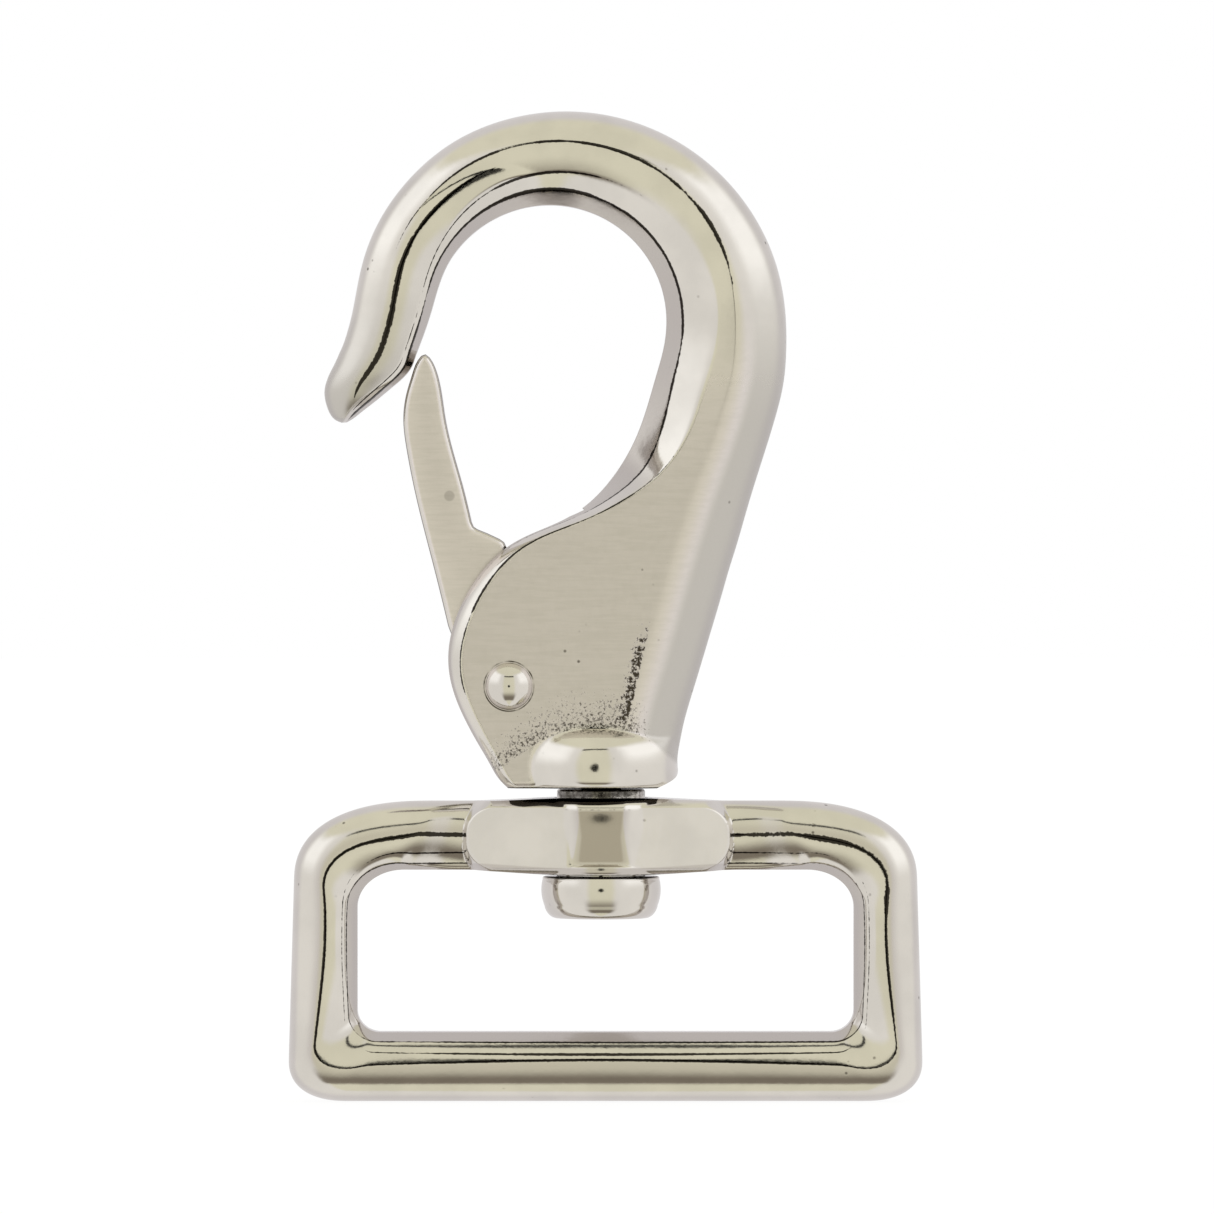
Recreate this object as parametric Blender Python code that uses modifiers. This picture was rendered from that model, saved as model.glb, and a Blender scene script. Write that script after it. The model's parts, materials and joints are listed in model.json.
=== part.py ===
"""Swivel snap hook for a 38 mm strap, as loose pieces that fit together.

The hook casting has two cheeks with a slot between them. A sprung gate turns on a rivet in
the slot and shuts against the hook's nose. Below, a headed stem turns in the casting and
carries the strap loop. X is to the right, Z is up, the gate and rivet turn about Y. The origin is
on the swivel axis, on the strap's seat on the loop's lower bar. Sizes are in millimetres.
"""

import math

import bmesh
import bpy
from mathutils import Matrix, Vector

MM = 0.001
MERGE = 0.00001
TO_XZ = Matrix.Rotation(math.radians(90), 4, "X")

# Hook casting: the bend is two arcs, an inner one and an outer one.
BEND_INNER_CENTRE = (-3.93, 54.66)
BEND_INNER_RADIUS = 9.0
BEND_OUTER_CENTRE = (-2.66, 53.89)
BEND_OUTER_RADIUS = 17.0
BEND_INNER_ANGLES = (122.0, -14.0)
BEND_OUTER_ANGLES = (128.0, -8.0)
BEND_STATIONS = 11
CHEEK_DEPTH = 3.9
BODY_BOTTOM = 18.85

# Each pair is a section's inner and outer point, from the nose tip up the left limb.
NOSE_PAIRS = [
    ((-19.2, 47.0), (-19.9, 46.9)),
    ((-17.9, 48.0), (-20.9, 47.8)),
    ((-16.9, 48.9), (-21.3, 48.9)),
    ((-15.8, 49.9), (-21.2, 49.8)),
    ((-14.9, 50.8), (-20.8, 50.7)),
    ((-14.4, 51.7), (-20.3, 51.7)),
    ((-14.0, 52.6), (-19.8, 52.7)),
    ((-13.5, 53.7), (-19.4, 53.7)),
    ((-12.9, 55.8), (-19.0, 55.8)),
    ((-12.3, 58.0), (-18.6, 58.1)),
    ((-11.4, 59.7), (-17.9, 60.4)),
    ((-10.2, 61.1), (-16.4, 63.7)),
]

# The same pairs from the neck down the rim of the cheeks to the body's bottom.
NECK_PAIRS = [
    ((4.3, 50.8), (14.0, 49.6)),
    ((3.6, 48.3), (13.3, 46.9)),
    ((2.7, 45.7), (12.5, 44.3)),
    ((1.3, 43.3), (11.7, 41.8)),
    ((-0.9, 40.6), (11.0, 39.4)),
    ((-3.5, 39.1), (10.5, 37.6)),
    ((-6.2, 38.0), (10.0, 36.1)),
    ((-8.3, 36.4), (9.6, 34.7)),
    ((-10.1, 34.0), (9.0, 32.6)),
    ((-11.3, 31.3), (8.3, 30.3)),
    ((-11.7, 28.6), (7.6, 27.9)),
    ((-11.2, 25.9), (6.9, 25.6)),
    ((-9.9, 23.2), (6.2, 23.2)),
    ((-8.6, 20.9), (5.8, 20.9)),
    ((-7.1, BODY_BOTTOM), (5.3, BODY_BOTTOM)),
]

# Section sizes at some stations, counted from the nose tip: half depth, half width of the land at
# the inner edge, width and depth of the inner facet, width of the bevel, width of the outer round.
NECK_START = len(NOSE_PAIRS) + BEND_STATIONS
BODY_SECTIONS = [
    (0, (1.8, 0.5, 0.5, 1.2, 1.6, 3.0)),
    (4, (2.6, 0.5, 0.3, 1.9, 1.5, 3.0)),
    (8, (2.9, 0.5, 0.7, 1.8, 2.2, 3.1)),
    (len(NOSE_PAIRS) + 3, (3.4, 0.5, 1.25, 2.2, 2.2, 3.4)),
    (len(NOSE_PAIRS) + 8, (3.7, 0.5, 1.1, 2.5, 2.5, 3.9)),
    (NECK_START, (CHEEK_DEPTH, 0.5, 1.6, 2.6, 2.0, 4.1)),
    (NECK_START + 3, (CHEEK_DEPTH, 0.5, 1.5, 2.8, 1.2, 4.8)),
    (NECK_START + 5, (CHEEK_DEPTH, 0.5, 0.1, 3.3, 0.8, 5.0)),
    (NECK_START + 14, (CHEEK_DEPTH, 0.5, 0.1, 3.3, 0.8, 4.6)),
]
STEPS_PER_STATION = 2
ROUND_STEPS = 4

# Boss round the swivel bore: a straight wall, then a domed top that runs into the cheeks.
BOSS_RADIUS = 5.9
BOSS_EDGE = 0.7
BOSS_WALL_TOP = 21.4
BOSS_DOME_HEIGHT = 2.76
BOSS_BOTTOM = 18.8

# Slot between the cheeks, open to the left, seen from the front.
SLOT_HALF_WIDTH = 2.2
SLOT_FLOOR = 22.6
SLOT_OUTLINE = [
    (-0.9, 39.9),
    (-0.1, 35.4),
    (0.1, 29.0),
    (0.8, 26.6),
    (2.5, 24.8),
    (2.5, SLOT_FLOOR),
    (-14.0, SLOT_FLOOR),
    (-14.0, 41.5),
    (-3.0, 41.5),
]

# Gate pivot and rivet.
PIVOT = (-7.05, 26.63)
PIN_RADIUS = 1.3
PIN_HOLE_RADIUS = 1.45
PIN_HEAD_RADIUS = 1.87
PIN_HEAD_HEIGHT = 1.15
PIN_HEAD_GAP = 0.03

# Gate, seen from the front, relative to the pivot: left edge going up, tip, right edge going down.
GATE_HALF_THICKNESS = 1.9
GATE_EDGE = 0.45
GATE_HUB_RADIUS = 3.4
GATE_HOLE_RADIUS = 1.5
GATE_LEFT_EDGE = [(-4.7, 4.6), (-5.6, 8.3), (-7.3, 15.1), (-7.9, 18.2), (-8.15, 20.5)]
GATE_TIP = [(-7.9, 22.5), (-7.45, 24.0), (-6.9, 25.25), (-6.5, 25.5), (-6.1, 25.3), (-5.75, 24.6)]
GATE_RIGHT_EDGE = [(-4.9, 20.5), (-3.5, 15.1), (-2.9, 12.5), (-2.6, 12.1), (-0.75, 11.3)]
GATE_SHOULDER = [(-0.3, 10.9), (-0.15, 10.2)]
HUB_ANGLES = (15.0, -195.0)

# Fork in the gate's foot that holds the spring: a slot open to the right and below.
FORK_HALF_WIDTH = 0.95
FORK_OUTLINE = [(-2.15, -4.0), (-2.15, 0.0), (-3.5, 5.6), (-3.1, 6.5), (-1.5, 6.8), (5.0, 6.8), (5.0, -4.0)]

# Torsion spring, relative to the pivot.
WIRE_RADIUS = 0.25
COIL_RADIUS = 1.72
COIL_TURNS = 2
COIL_PITCH = 0.54
COIL_POINTS_PER_TURN = 16
GATE_LEG_ANGLE = 104.0
GATE_LEG_LENGTH = 5.4
BODY_LEG_ANGLE = 38.0
BODY_LEG_LENGTH = 7.3

# Swivel stem: tail, shank, shoulder, journal and button head, about the Z axis.
SHANK_RADIUS = 1.4
SHANK_BORE_RADIUS = 1.6
TAIL_RADIUS = 1.95
TAIL_BOTTOM = 22.7
TAIL_HEIGHT = 0.75
JOURNAL_RADIUS = 3.4
JOURNAL_TOP = 18.7
HEAD_RADIUS = 4.6
HEAD_TOP = 12.0
HEAD_BOTTOM = 8.75
HEAD_FILLET = 1.3

# Strap loop: a rounded rectangle of bar with an eye in its top bar.
LOOP_CENTRE_X = 0.35
LOOP_TOP = 17.8
LOOP_BOTTOM = -5.35
LOOP_TOP_HALF_WIDTH = 24.0
LOOP_BOTTOM_HALF_WIDTH = 24.4
STRAP_HALF_WIDTH = 19.1
STRAP_TOP = 12.5
STRAP_BOTTOM = 0.0
OUTER_TOP_CORNER = (10.6, 6.3)
OUTER_TOP_POWER = 2.4
OUTER_BOTTOM_CORNER = (4.6, 3.2)
INNER_TOP_CORNER = (3.6, 2.9)
INNER_BOTTOM_CORNER = (1.8, 1.7)
CORNER_STEPS = 7
BAR_HALF_DEPTH = 2.8
BAR_SECTION = (BAR_HALF_DEPTH, 1.0, 0.8, 2.0, 1.0, 1.7)
EYE_BLOCK_HALF_LENGTH = 10.4
EYE_BLOCK_HALF_DEPTH = 4.4
EYE_BLOCK_TOP = 17.95
EYE_BLOCK_BOTTOM = 12.7
EYE_BLOCK_EDGE = 1.0
EYE_RADIUS = 5.2
EYE_TOP = 18.05
EYE_BOTTOM = 12.15
EYE_EDGE = 0.5
EYE_BORE_RADIUS = 3.6


def clear_scene():
    for obj in list(bpy.data.objects):
        bpy.data.objects.remove(obj, do_unlink=True)


def make_collection(name):
    collection = bpy.data.collections.new(name)
    bpy.context.scene.collection.children.link(collection)
    return collection


def metal(name, colour, roughness):
    material = bpy.data.materials.new(name)
    material.use_nodes = True
    shader = material.node_tree.nodes["Principled BSDF"]
    shader.inputs["Base Color"].default_value = (*colour, 1.0)
    shader.inputs["Metallic"].default_value = 1.0
    shader.inputs["Roughness"].default_value = roughness
    return material


def add_object(name, mesh, collection):
    obj = bpy.data.objects.new(name, mesh)
    collection.objects.link(obj)
    return obj


def as_cutter(obj):
    obj.hide_render = True
    obj.display_type = "WIRE"
    return obj


def boolean(target, other, operation):
    modifier = target.modifiers.new(f"{operation.lower()}_{other.name}", "BOOLEAN")
    modifier.operation = operation
    modifier.solver = "EXACT"
    modifier.object = other


def shade(mesh, angle):
    mesh.shade_smooth()
    mesh.set_sharp_from_angle(angle=math.radians(angle))


def on_arc(centre, radius, degrees):
    angle = math.radians(degrees)
    return (centre[0] + radius * math.cos(angle), centre[1] + radius * math.sin(angle))


def arc(centre, radius, start, end, steps):
    return [on_arc(centre, radius, start + (end - start) * i / steps) for i in range(steps + 1)]


def smooth_through(rows, steps):
    """A Catmull-Rom curve through rows of numbers, with the end rows repeated."""
    padded = [rows[0], *rows, rows[-1]]
    curve = []
    for before, start, end, after in zip(padded, padded[1:], padded[2:], padded[3:]):
        for i in range(steps):
            t = i / steps
            curve.append([
                b + 0.5 * t * (c - a + t * (2 * a - 5 * b + 4 * c - d + t * (3 * (b - c) + d - a)))
                for a, b, c, d in zip(before, start, end, after)
            ])
    return curve + [list(rows[-1])]


def between(keys, place):
    """The numbers at a place between two keyed rows, in proportion."""
    for (start, low), (end, high) in zip(keys, keys[1:]):
        if place <= end:
            share = (place - start) / (end - start)
            return [a + (b - a) * share for a, b in zip(low, high)]
    return list(keys[-1][1])


def bar_section(inner, outer, sizes):
    """One closed section from an inner to an outer point: land, facet, bevel, flat and outer round."""
    half_depth, land, facet, facet_depth, bevel, outer_round = sizes
    inner = Vector(inner)
    along = Vector(outer) - inner
    width = along.length
    along.normalize()
    shrink = min(1.0, 0.98 * width / (facet + bevel + outer_round))
    facet, bevel, outer_round = facet * shrink, bevel * shrink, outer_round * shrink
    front = [
        (0.0, land),
        (facet, facet_depth),
        (facet + 0.45 * bevel, facet_depth + 0.72 * (half_depth - facet_depth)),
        (facet + bevel, half_depth),
    ]
    for i in range(ROUND_STEPS):
        angle = math.radians(90) * i / ROUND_STEPS
        across = width - outer_round + outer_round * math.sin(angle)
        front.append((across, half_depth * math.cos(angle)))
    outline = [(s, -y) for s, y in front] + [(width, 0.0)] + front[::-1]
    ring = []
    for across, y in outline:
        point = inner + along * across
        ring.append(Vector((point.x, y, point.y)) * MM)
    return ring


def loft(name, rings, closed):
    """A skin over equal rings of points: a closed band, or a bar with two end caps."""
    shell = bmesh.new()
    rows = [[shell.verts.new(point) for point in ring] for ring in rings]
    count = len(rows[0])
    pairs = list(zip(rows, rows[1:]))
    if closed:
        pairs.append((rows[-1], rows[0]))
    for low, high in pairs:
        for i in range(count):
            j = (i + 1) % count
            shell.faces.new((low[i], low[j], high[j], high[i]))
    if not closed:
        shell.faces.new(rows[0])
        shell.faces.new(rows[-1])
    bmesh.ops.recalc_face_normals(shell, faces=shell.faces)
    mesh = bpy.data.meshes.new(name)
    shell.to_mesh(mesh)
    shell.free()
    return mesh


def turned(name, profile, steps):
    """A solid turned about its own Z axis, from (radius, height) points, top to bottom."""
    mesh = bpy.data.meshes.new(name)
    points = [(radius * MM, 0.0, height * MM) for radius, height in profile]
    mesh.from_pydata(points, [(i, i + 1) for i in range(len(points) - 1)], [])
    obj = bpy.data.objects.new(name, mesh)
    screw = obj.modifiers.new("turn", "SCREW")
    screw.axis = "Z"
    screw.steps = steps
    screw.render_steps = steps
    screw.use_merge_vertices = True
    screw.merge_threshold = MERGE
    screw.use_smooth_shade = True
    return obj


def cylinder(name, radius, low, high, steps, collection):
    """An upright cylinder on the Z axis."""
    shell = bmesh.new()
    radius = radius * MM
    height = (high - low) * MM
    bmesh.ops.create_cone(
        shell, cap_ends=True, segments=steps, radius1=radius, radius2=radius, depth=height
    )
    bmesh.ops.translate(shell, verts=shell.verts, vec=(0.0, 0.0, low * MM + 0.5 * height))
    mesh = bpy.data.meshes.new(name)
    shell.to_mesh(mesh)
    shell.free()
    return add_object(name, mesh, collection)


def curve_mesh(name, curve_object):
    """The curve as a closed mesh, with its caps welded on."""
    bpy.context.view_layer.update()
    evaluated = curve_object.evaluated_get(bpy.context.evaluated_depsgraph_get())
    mesh = bpy.data.meshes.new_from_object(evaluated)
    mesh.name = name
    shell = bmesh.new()
    shell.from_mesh(mesh)
    bmesh.ops.remove_doubles(shell, verts=shell.verts, dist=MERGE)
    shell.to_mesh(mesh)
    shell.free()
    bpy.data.objects.remove(curve_object, do_unlink=True)
    return mesh


def plate(name, outline, half_thickness, edge, collection):
    """A flat plate in the XZ plane with rounded rims, from an outline seen from the front."""
    curve = bpy.data.curves.new(f"{name}_outline", "CURVE")
    curve.dimensions = "2D"
    curve.fill_mode = "BOTH"
    curve.extrude = (half_thickness - edge) * MM
    curve.bevel_depth = edge * MM
    curve.offset = -edge * MM
    curve.bevel_resolution = 1
    spline = curve.splines.new("POLY")
    spline.points.add(len(outline) - 1)
    for point, (x, z) in zip(spline.points, outline):
        point.co = (x * MM, z * MM, 0.0, 1.0)
    spline.use_cyclic_u = True
    curve_object = add_object(f"{name}_outline", curve, collection)
    mesh = curve_mesh(name, curve_object)
    mesh.transform(TO_XZ)
    return add_object(name, mesh, collection)


def hook_body(parts, cutters):
    """The casting: a bent bar whose section changes from nose to cheeks, with boss, slot and bores."""
    bend = list(zip(
        arc(BEND_INNER_CENTRE, BEND_INNER_RADIUS, *BEND_INNER_ANGLES, BEND_STATIONS - 1),
        arc(BEND_OUTER_CENTRE, BEND_OUTER_RADIUS, *BEND_OUTER_ANGLES, BEND_STATIONS - 1),
    ))
    pairs = NOSE_PAIRS + bend + NECK_PAIRS
    rows = smooth_through([(*inner, *outer) for inner, outer in pairs], STEPS_PER_STATION)
    rings = []
    for i, row in enumerate(rows):
        sizes = between(BODY_SECTIONS, i / STEPS_PER_STATION)
        rings.append(bar_section(row[:2], row[2:], sizes))
    mesh = loft("hook_body", rings, closed=False)
    shade(mesh, 35)
    body = add_object("hook_body", mesh, parts)

    boss_profile = [(0.0, BOSS_WALL_TOP + BOSS_DOME_HEIGHT)]
    for degrees in (75, 60, 45, 30, 15, 0):
        radius, height = on_arc((0.0, 0.0), 1.0, degrees)
        boss_profile.append((BOSS_RADIUS * radius, BOSS_WALL_TOP + BOSS_DOME_HEIGHT * height))
    corner = (BOSS_RADIUS - BOSS_EDGE, BOSS_BOTTOM + BOSS_EDGE)
    boss_profile += arc(corner, BOSS_EDGE, 0, -90, 3)
    boss_profile.append((0.0, BOSS_BOTTOM))
    boss = as_cutter(turned("boss", boss_profile, 40))
    cutters.objects.link(boss)
    boolean(body, boss, "UNION")

    slot = as_cutter(plate("slot", SLOT_OUTLINE, SLOT_HALF_WIDTH, 0.0, cutters))
    boolean(body, slot, "DIFFERENCE")
    bore_ends = (BOSS_BOTTOM - 2.0, SLOT_FLOOR + 2.0)
    bore = as_cutter(cylinder("swivel_bore", SHANK_BORE_RADIUS, *bore_ends, 28, cutters))
    boolean(body, bore, "DIFFERENCE")
    pin_hole = as_cutter(cylinder("pin_hole", PIN_HOLE_RADIUS, -8.0, 8.0, 28, cutters))
    pin_hole.rotation_euler.x = math.radians(90)
    pin_hole.location = (PIVOT[0] * MM, 0.0, PIVOT[1] * MM)
    boolean(body, pin_hole, "DIFFERENCE")
    return body


def gate(parts, cutters):
    """The tongue that closes the hook, with a forked foot on the pivot."""
    hub = arc((0.0, 0.0), GATE_HUB_RADIUS, *HUB_ANGLES, 14)
    outline = GATE_LEFT_EDGE + GATE_TIP + GATE_RIGHT_EDGE + GATE_SHOULDER + hub
    tongue = plate("gate", outline, GATE_HALF_THICKNESS, GATE_EDGE, parts)
    shade(tongue.data, 50)
    tongue.location = (PIVOT[0] * MM, 0.0, PIVOT[1] * MM)

    fork = as_cutter(plate("fork", FORK_OUTLINE, FORK_HALF_WIDTH, 0.0, cutters))
    fork.location = tongue.location
    boolean(tongue, fork, "DIFFERENCE")
    hole = as_cutter(cylinder("gate_hole", GATE_HOLE_RADIUS, -4.0, 4.0, 28, cutters))
    hole.rotation_euler.x = math.radians(90)
    hole.location = tongue.location
    boolean(tongue, hole, "DIFFERENCE")
    return tongue


def gate_pin(parts):
    """The rivet through both cheeks and the gate, with a domed head on each side."""
    seat = CHEEK_DEPTH + PIN_HEAD_GAP
    top = [
        (PIN_HEAD_RADIUS * x, seat + PIN_HEAD_HEIGHT * y)
        for x, y in arc((0.0, 0.0), 1.0, 90, 0, 6)
    ]
    top[0] = (0.0, seat + PIN_HEAD_HEIGHT)
    top.append((PIN_RADIUS, seat))
    bottom = [(radius, -height) for radius, height in reversed(top)]
    pin = turned("gate_pin", top + bottom, 32)
    parts.objects.link(pin)
    pin.rotation_euler.x = math.radians(90)
    pin.location = (PIVOT[0] * MM, 0.0, PIVOT[1] * MM)
    return pin


def gate_spring(parts):
    """A torsion spring: one leg bears on the gate, the coil is on the rivet, one leg on the slot's floor."""
    start = GATE_LEG_ANGLE + 90.0
    end = BODY_LEG_ANGLE - 90.0 + 360.0
    sweep = (end - start) + 360.0 * COIL_TURNS
    count = round(COIL_POINTS_PER_TURN * sweep / 360.0)
    half_length = 0.5 * COIL_PITCH * sweep / 360.0
    points = []
    for i in range(count + 1):
        share = i / count
        x, z = on_arc((0.0, 0.0), COIL_RADIUS, start + sweep * share)
        points.append(Vector((x, half_length * (2.0 * share - 1.0), z)))
    gate_leg = Vector((*on_arc((0.0, 0.0), GATE_LEG_LENGTH, GATE_LEG_ANGLE), 0.0)).xzy
    body_leg = Vector((*on_arc((0.0, 0.0), BODY_LEG_LENGTH, BODY_LEG_ANGLE), 0.0)).xzy
    points = [points[0] + gate_leg, *points, points[-1] + body_leg]

    curve = bpy.data.curves.new("gate_spring", "CURVE")
    curve.dimensions = "3D"
    curve.bevel_depth = WIRE_RADIUS * MM
    curve.bevel_resolution = 2
    curve.use_fill_caps = True
    spline = curve.splines.new("POLY")
    spline.points.add(len(points) - 1)
    for spline_point, point in zip(spline.points, points):
        spline_point.co = (*(point * MM), 1.0)
    spring = add_object("gate_spring", curve, parts)
    spring.location = (PIVOT[0] * MM, 0.0, PIVOT[1] * MM)
    return spring


def swivel_stem(parts):
    """The headed stem: its tail is riveted over inside the slot, its button head is under the loop's eye."""
    tail = [
        (TAIL_RADIUS * x, TAIL_BOTTOM + TAIL_HEIGHT * y)
        for x, y in arc((0.0, 0.0), 1.0, 90, 0, 4)
    ]
    tail[0] = (0.0, TAIL_BOTTOM + TAIL_HEIGHT)
    shank = [(SHANK_RADIUS, TAIL_BOTTOM), (SHANK_RADIUS, JOURNAL_TOP)]
    journal = [(JOURNAL_RADIUS - 0.2, JOURNAL_TOP), (JOURNAL_RADIUS, JOURNAL_TOP - 0.2)]
    head_top = [(JOURNAL_RADIUS, HEAD_TOP), (HEAD_RADIUS - 0.2, HEAD_TOP), (HEAD_RADIUS, HEAD_TOP - 0.2)]
    corner = (HEAD_RADIUS - HEAD_FILLET, HEAD_BOTTOM + HEAD_FILLET)
    head_bottom = arc(corner, HEAD_FILLET, 0, -90, 4) + [(0.0, HEAD_BOTTOM)]
    stem = turned("swivel_stem", tail + shank + journal + head_top + head_bottom, 40)
    parts.objects.link(stem)
    return stem


def superellipse_corner(centre, radii, power, signs):
    """A quarter turn from the top or bottom of a corner to its side, flatter than an ellipse."""
    points = []
    for i in range(CORNER_STEPS + 1):
        angle = math.radians(90) * (1 - i / CORNER_STEPS)
        x = radii[0] * max(math.cos(angle), 0.0) ** (2 / power)
        z = radii[1] * max(math.sin(angle), 0.0) ** (2 / power)
        points.append((centre[0] + signs[0] * x, centre[1] + signs[1] * z))
    return points


def corner_pairs(top):
    """The inner and outer points of the sections round the loop's right corner, top or bottom."""
    sign = 1 if top else -1
    outer_radii = OUTER_TOP_CORNER if top else OUTER_BOTTOM_CORNER
    inner_radii = INNER_TOP_CORNER if top else INNER_BOTTOM_CORNER
    outer_edge = LOOP_TOP if top else LOOP_BOTTOM
    inner_edge = STRAP_TOP if top else STRAP_BOTTOM
    half_width = LOOP_TOP_HALF_WIDTH if top else LOOP_BOTTOM_HALF_WIDTH
    outer_centre = (half_width - outer_radii[0], outer_edge - sign * outer_radii[1])
    inner_centre = (STRAP_HALF_WIDTH - inner_radii[0], inner_edge - sign * inner_radii[1])
    outer = superellipse_corner(outer_centre, outer_radii, OUTER_TOP_POWER, (1, sign))
    inner = superellipse_corner(inner_centre, inner_radii, 2.0, (1, sign))
    return list(zip(inner, outer))


def strap_loop(parts, cutters):
    """The rectangular loop: a ring of bar, a thicker block at its top and an upright eye through it."""
    right = corner_pairs(True) + corner_pairs(False)[::-1]
    left = [((-inner[0], inner[1]), (-outer[0], outer[1])) for inner, outer in reversed(right)]
    rings = []
    for inner, outer in right + left:
        inner = (inner[0] + LOOP_CENTRE_X, inner[1])
        outer = (outer[0] + LOOP_CENTRE_X, outer[1])
        rings.append(bar_section(inner, outer, BAR_SECTION))
    mesh = loft("strap_loop", rings, closed=True)
    shade(mesh, 35)
    loop = add_object("strap_loop", mesh, parts)

    block_mesh = bpy.data.meshes.new("eye_block")
    shell = bmesh.new()
    bmesh.ops.create_cube(shell, size=1.0)
    half_height = 0.5 * (EYE_BLOCK_TOP - EYE_BLOCK_BOTTOM)
    half_size = Vector((EYE_BLOCK_HALF_LENGTH, EYE_BLOCK_HALF_DEPTH, half_height))
    bmesh.ops.scale(shell, verts=shell.verts, vec=2.0 * MM * half_size)
    middle = (0.0, 0.0, (EYE_BLOCK_BOTTOM + half_height) * MM)
    bmesh.ops.translate(shell, verts=shell.verts, vec=middle)
    shell.to_mesh(block_mesh)
    shell.free()
    block = as_cutter(add_object("eye_block", block_mesh, cutters))
    round_edges = block.modifiers.new("round_edges", "BEVEL")
    round_edges.width = EYE_BLOCK_EDGE * MM
    round_edges.segments = 3
    boolean(loop, block, "UNION")

    upper = arc((EYE_RADIUS - EYE_EDGE, EYE_TOP - EYE_EDGE), EYE_EDGE, 90, 0, 3)
    lower = arc((EYE_RADIUS - EYE_EDGE, EYE_BOTTOM + EYE_EDGE), EYE_EDGE, 0, -90, 3)
    eye = as_cutter(turned("eye", [(0.0, EYE_TOP), *upper, *lower, (0.0, EYE_BOTTOM)], 48))
    cutters.objects.link(eye)
    boolean(loop, eye, "UNION")
    bore = as_cutter(cylinder("eye_bore", EYE_BORE_RADIUS, EYE_BOTTOM - 2.0, EYE_TOP + 2.0, 40, cutters))
    boolean(loop, bore, "DIFFERENCE")
    return loop


def main():
    clear_scene()
    parts = make_collection("swivel_snap_hook")
    cutters = make_collection("cutters")
    finishes = [
        (hook_body(parts, cutters), (0.66, 0.63, 0.58), 0.28),
        (gate(parts, cutters), (0.70, 0.67, 0.62), 0.22),
        (gate_pin(parts), (0.72, 0.70, 0.66), 0.15),
        (gate_spring(parts), (0.45, 0.44, 0.42), 0.30),
        (swivel_stem(parts), (0.68, 0.66, 0.62), 0.20),
        (strap_loop(parts, cutters), (0.68, 0.65, 0.60), 0.22),
    ]
    for obj, colour, roughness in finishes:
        obj.data.materials.append(metal(f"{obj.name}_finish", colour, roughness))


main()
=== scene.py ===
"""Looks of the swivel snap hook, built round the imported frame. Shapes are drawn in millimetres."""

import json
import math

import bmesh
import bpy
import numpy as np
from mathutils import Matrix, Vector


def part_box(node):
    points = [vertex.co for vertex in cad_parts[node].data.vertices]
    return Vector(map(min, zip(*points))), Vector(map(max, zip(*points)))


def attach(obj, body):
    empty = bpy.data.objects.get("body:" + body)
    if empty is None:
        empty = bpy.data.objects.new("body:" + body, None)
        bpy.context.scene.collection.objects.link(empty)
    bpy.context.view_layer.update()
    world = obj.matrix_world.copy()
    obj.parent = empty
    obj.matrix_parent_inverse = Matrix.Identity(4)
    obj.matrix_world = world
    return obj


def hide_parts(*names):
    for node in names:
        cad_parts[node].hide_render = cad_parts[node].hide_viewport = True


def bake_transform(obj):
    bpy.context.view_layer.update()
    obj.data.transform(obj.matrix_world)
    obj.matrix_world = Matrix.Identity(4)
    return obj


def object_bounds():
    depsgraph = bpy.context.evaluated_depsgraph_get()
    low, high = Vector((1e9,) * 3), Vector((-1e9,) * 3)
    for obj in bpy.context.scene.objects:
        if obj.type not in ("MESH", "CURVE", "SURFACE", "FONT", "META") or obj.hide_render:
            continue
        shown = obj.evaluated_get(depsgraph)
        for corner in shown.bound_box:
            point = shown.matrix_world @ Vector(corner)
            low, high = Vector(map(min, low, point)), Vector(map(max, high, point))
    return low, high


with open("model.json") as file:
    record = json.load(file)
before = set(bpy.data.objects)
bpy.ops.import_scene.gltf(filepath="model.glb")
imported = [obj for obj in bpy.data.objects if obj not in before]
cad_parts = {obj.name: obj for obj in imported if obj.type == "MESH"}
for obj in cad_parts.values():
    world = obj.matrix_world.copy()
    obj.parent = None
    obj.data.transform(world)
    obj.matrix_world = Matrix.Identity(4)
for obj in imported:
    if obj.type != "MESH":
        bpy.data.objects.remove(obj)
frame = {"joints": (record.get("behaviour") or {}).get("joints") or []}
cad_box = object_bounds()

MM = 0.001


# ---------------- numbers and curves


def smooth_min(a, b, blend):
    """The smaller of two values, rounded off where they are less than blend apart."""
    share = np.clip(0.5 + 0.5 * (b - a) / blend, 0.0, 1.0)
    return b * (1 - share) + a * share - blend * share * (1 - share)


def smooth_max(a, b, blend):
    return -smooth_min(-a, -b, blend)


def smooth_step(x, low, high):
    """0 at low and 1 at high, smooth in between. Low may be the larger of the two."""
    share = np.clip((x - low) / (high - low), 0.0, 1.0)
    return share * share * (3 - 2 * share)


def quarter(share):
    """Height of a quarter circle, 1 at the start and 0 at the end."""
    return np.sqrt(np.maximum(1 - share**2, 0.0))


def column(values):
    return values[:, None]


def spline(keys, rows, places):
    """A natural cubic spline through rows of numbers at the keys, read at the places."""
    x = np.asarray(keys, float)
    y = np.asarray(rows, float)
    count = len(x)
    gap = np.diff(x)
    system = np.eye(count)
    right = np.zeros_like(y)
    for i in range(1, count - 1):
        system[i, i - 1:i + 2] = gap[i - 1], 2 * (gap[i - 1] + gap[i]), gap[i]
        right[i] = 6 * ((y[i + 1] - y[i]) / gap[i] - (y[i] - y[i - 1]) / gap[i - 1])
    second = np.linalg.solve(system, right)
    i = np.clip(np.searchsorted(x, places) - 1, 0, count - 2)
    a = column((x[i + 1] - places) / gap[i])
    b = column((places - x[i]) / gap[i])
    bend = ((a**3 - a) * second[i] + (b**3 - b) * second[i + 1]) * column(gap[i] ** 2) / 6
    return a * y[i] + b * y[i + 1] + bend


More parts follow.
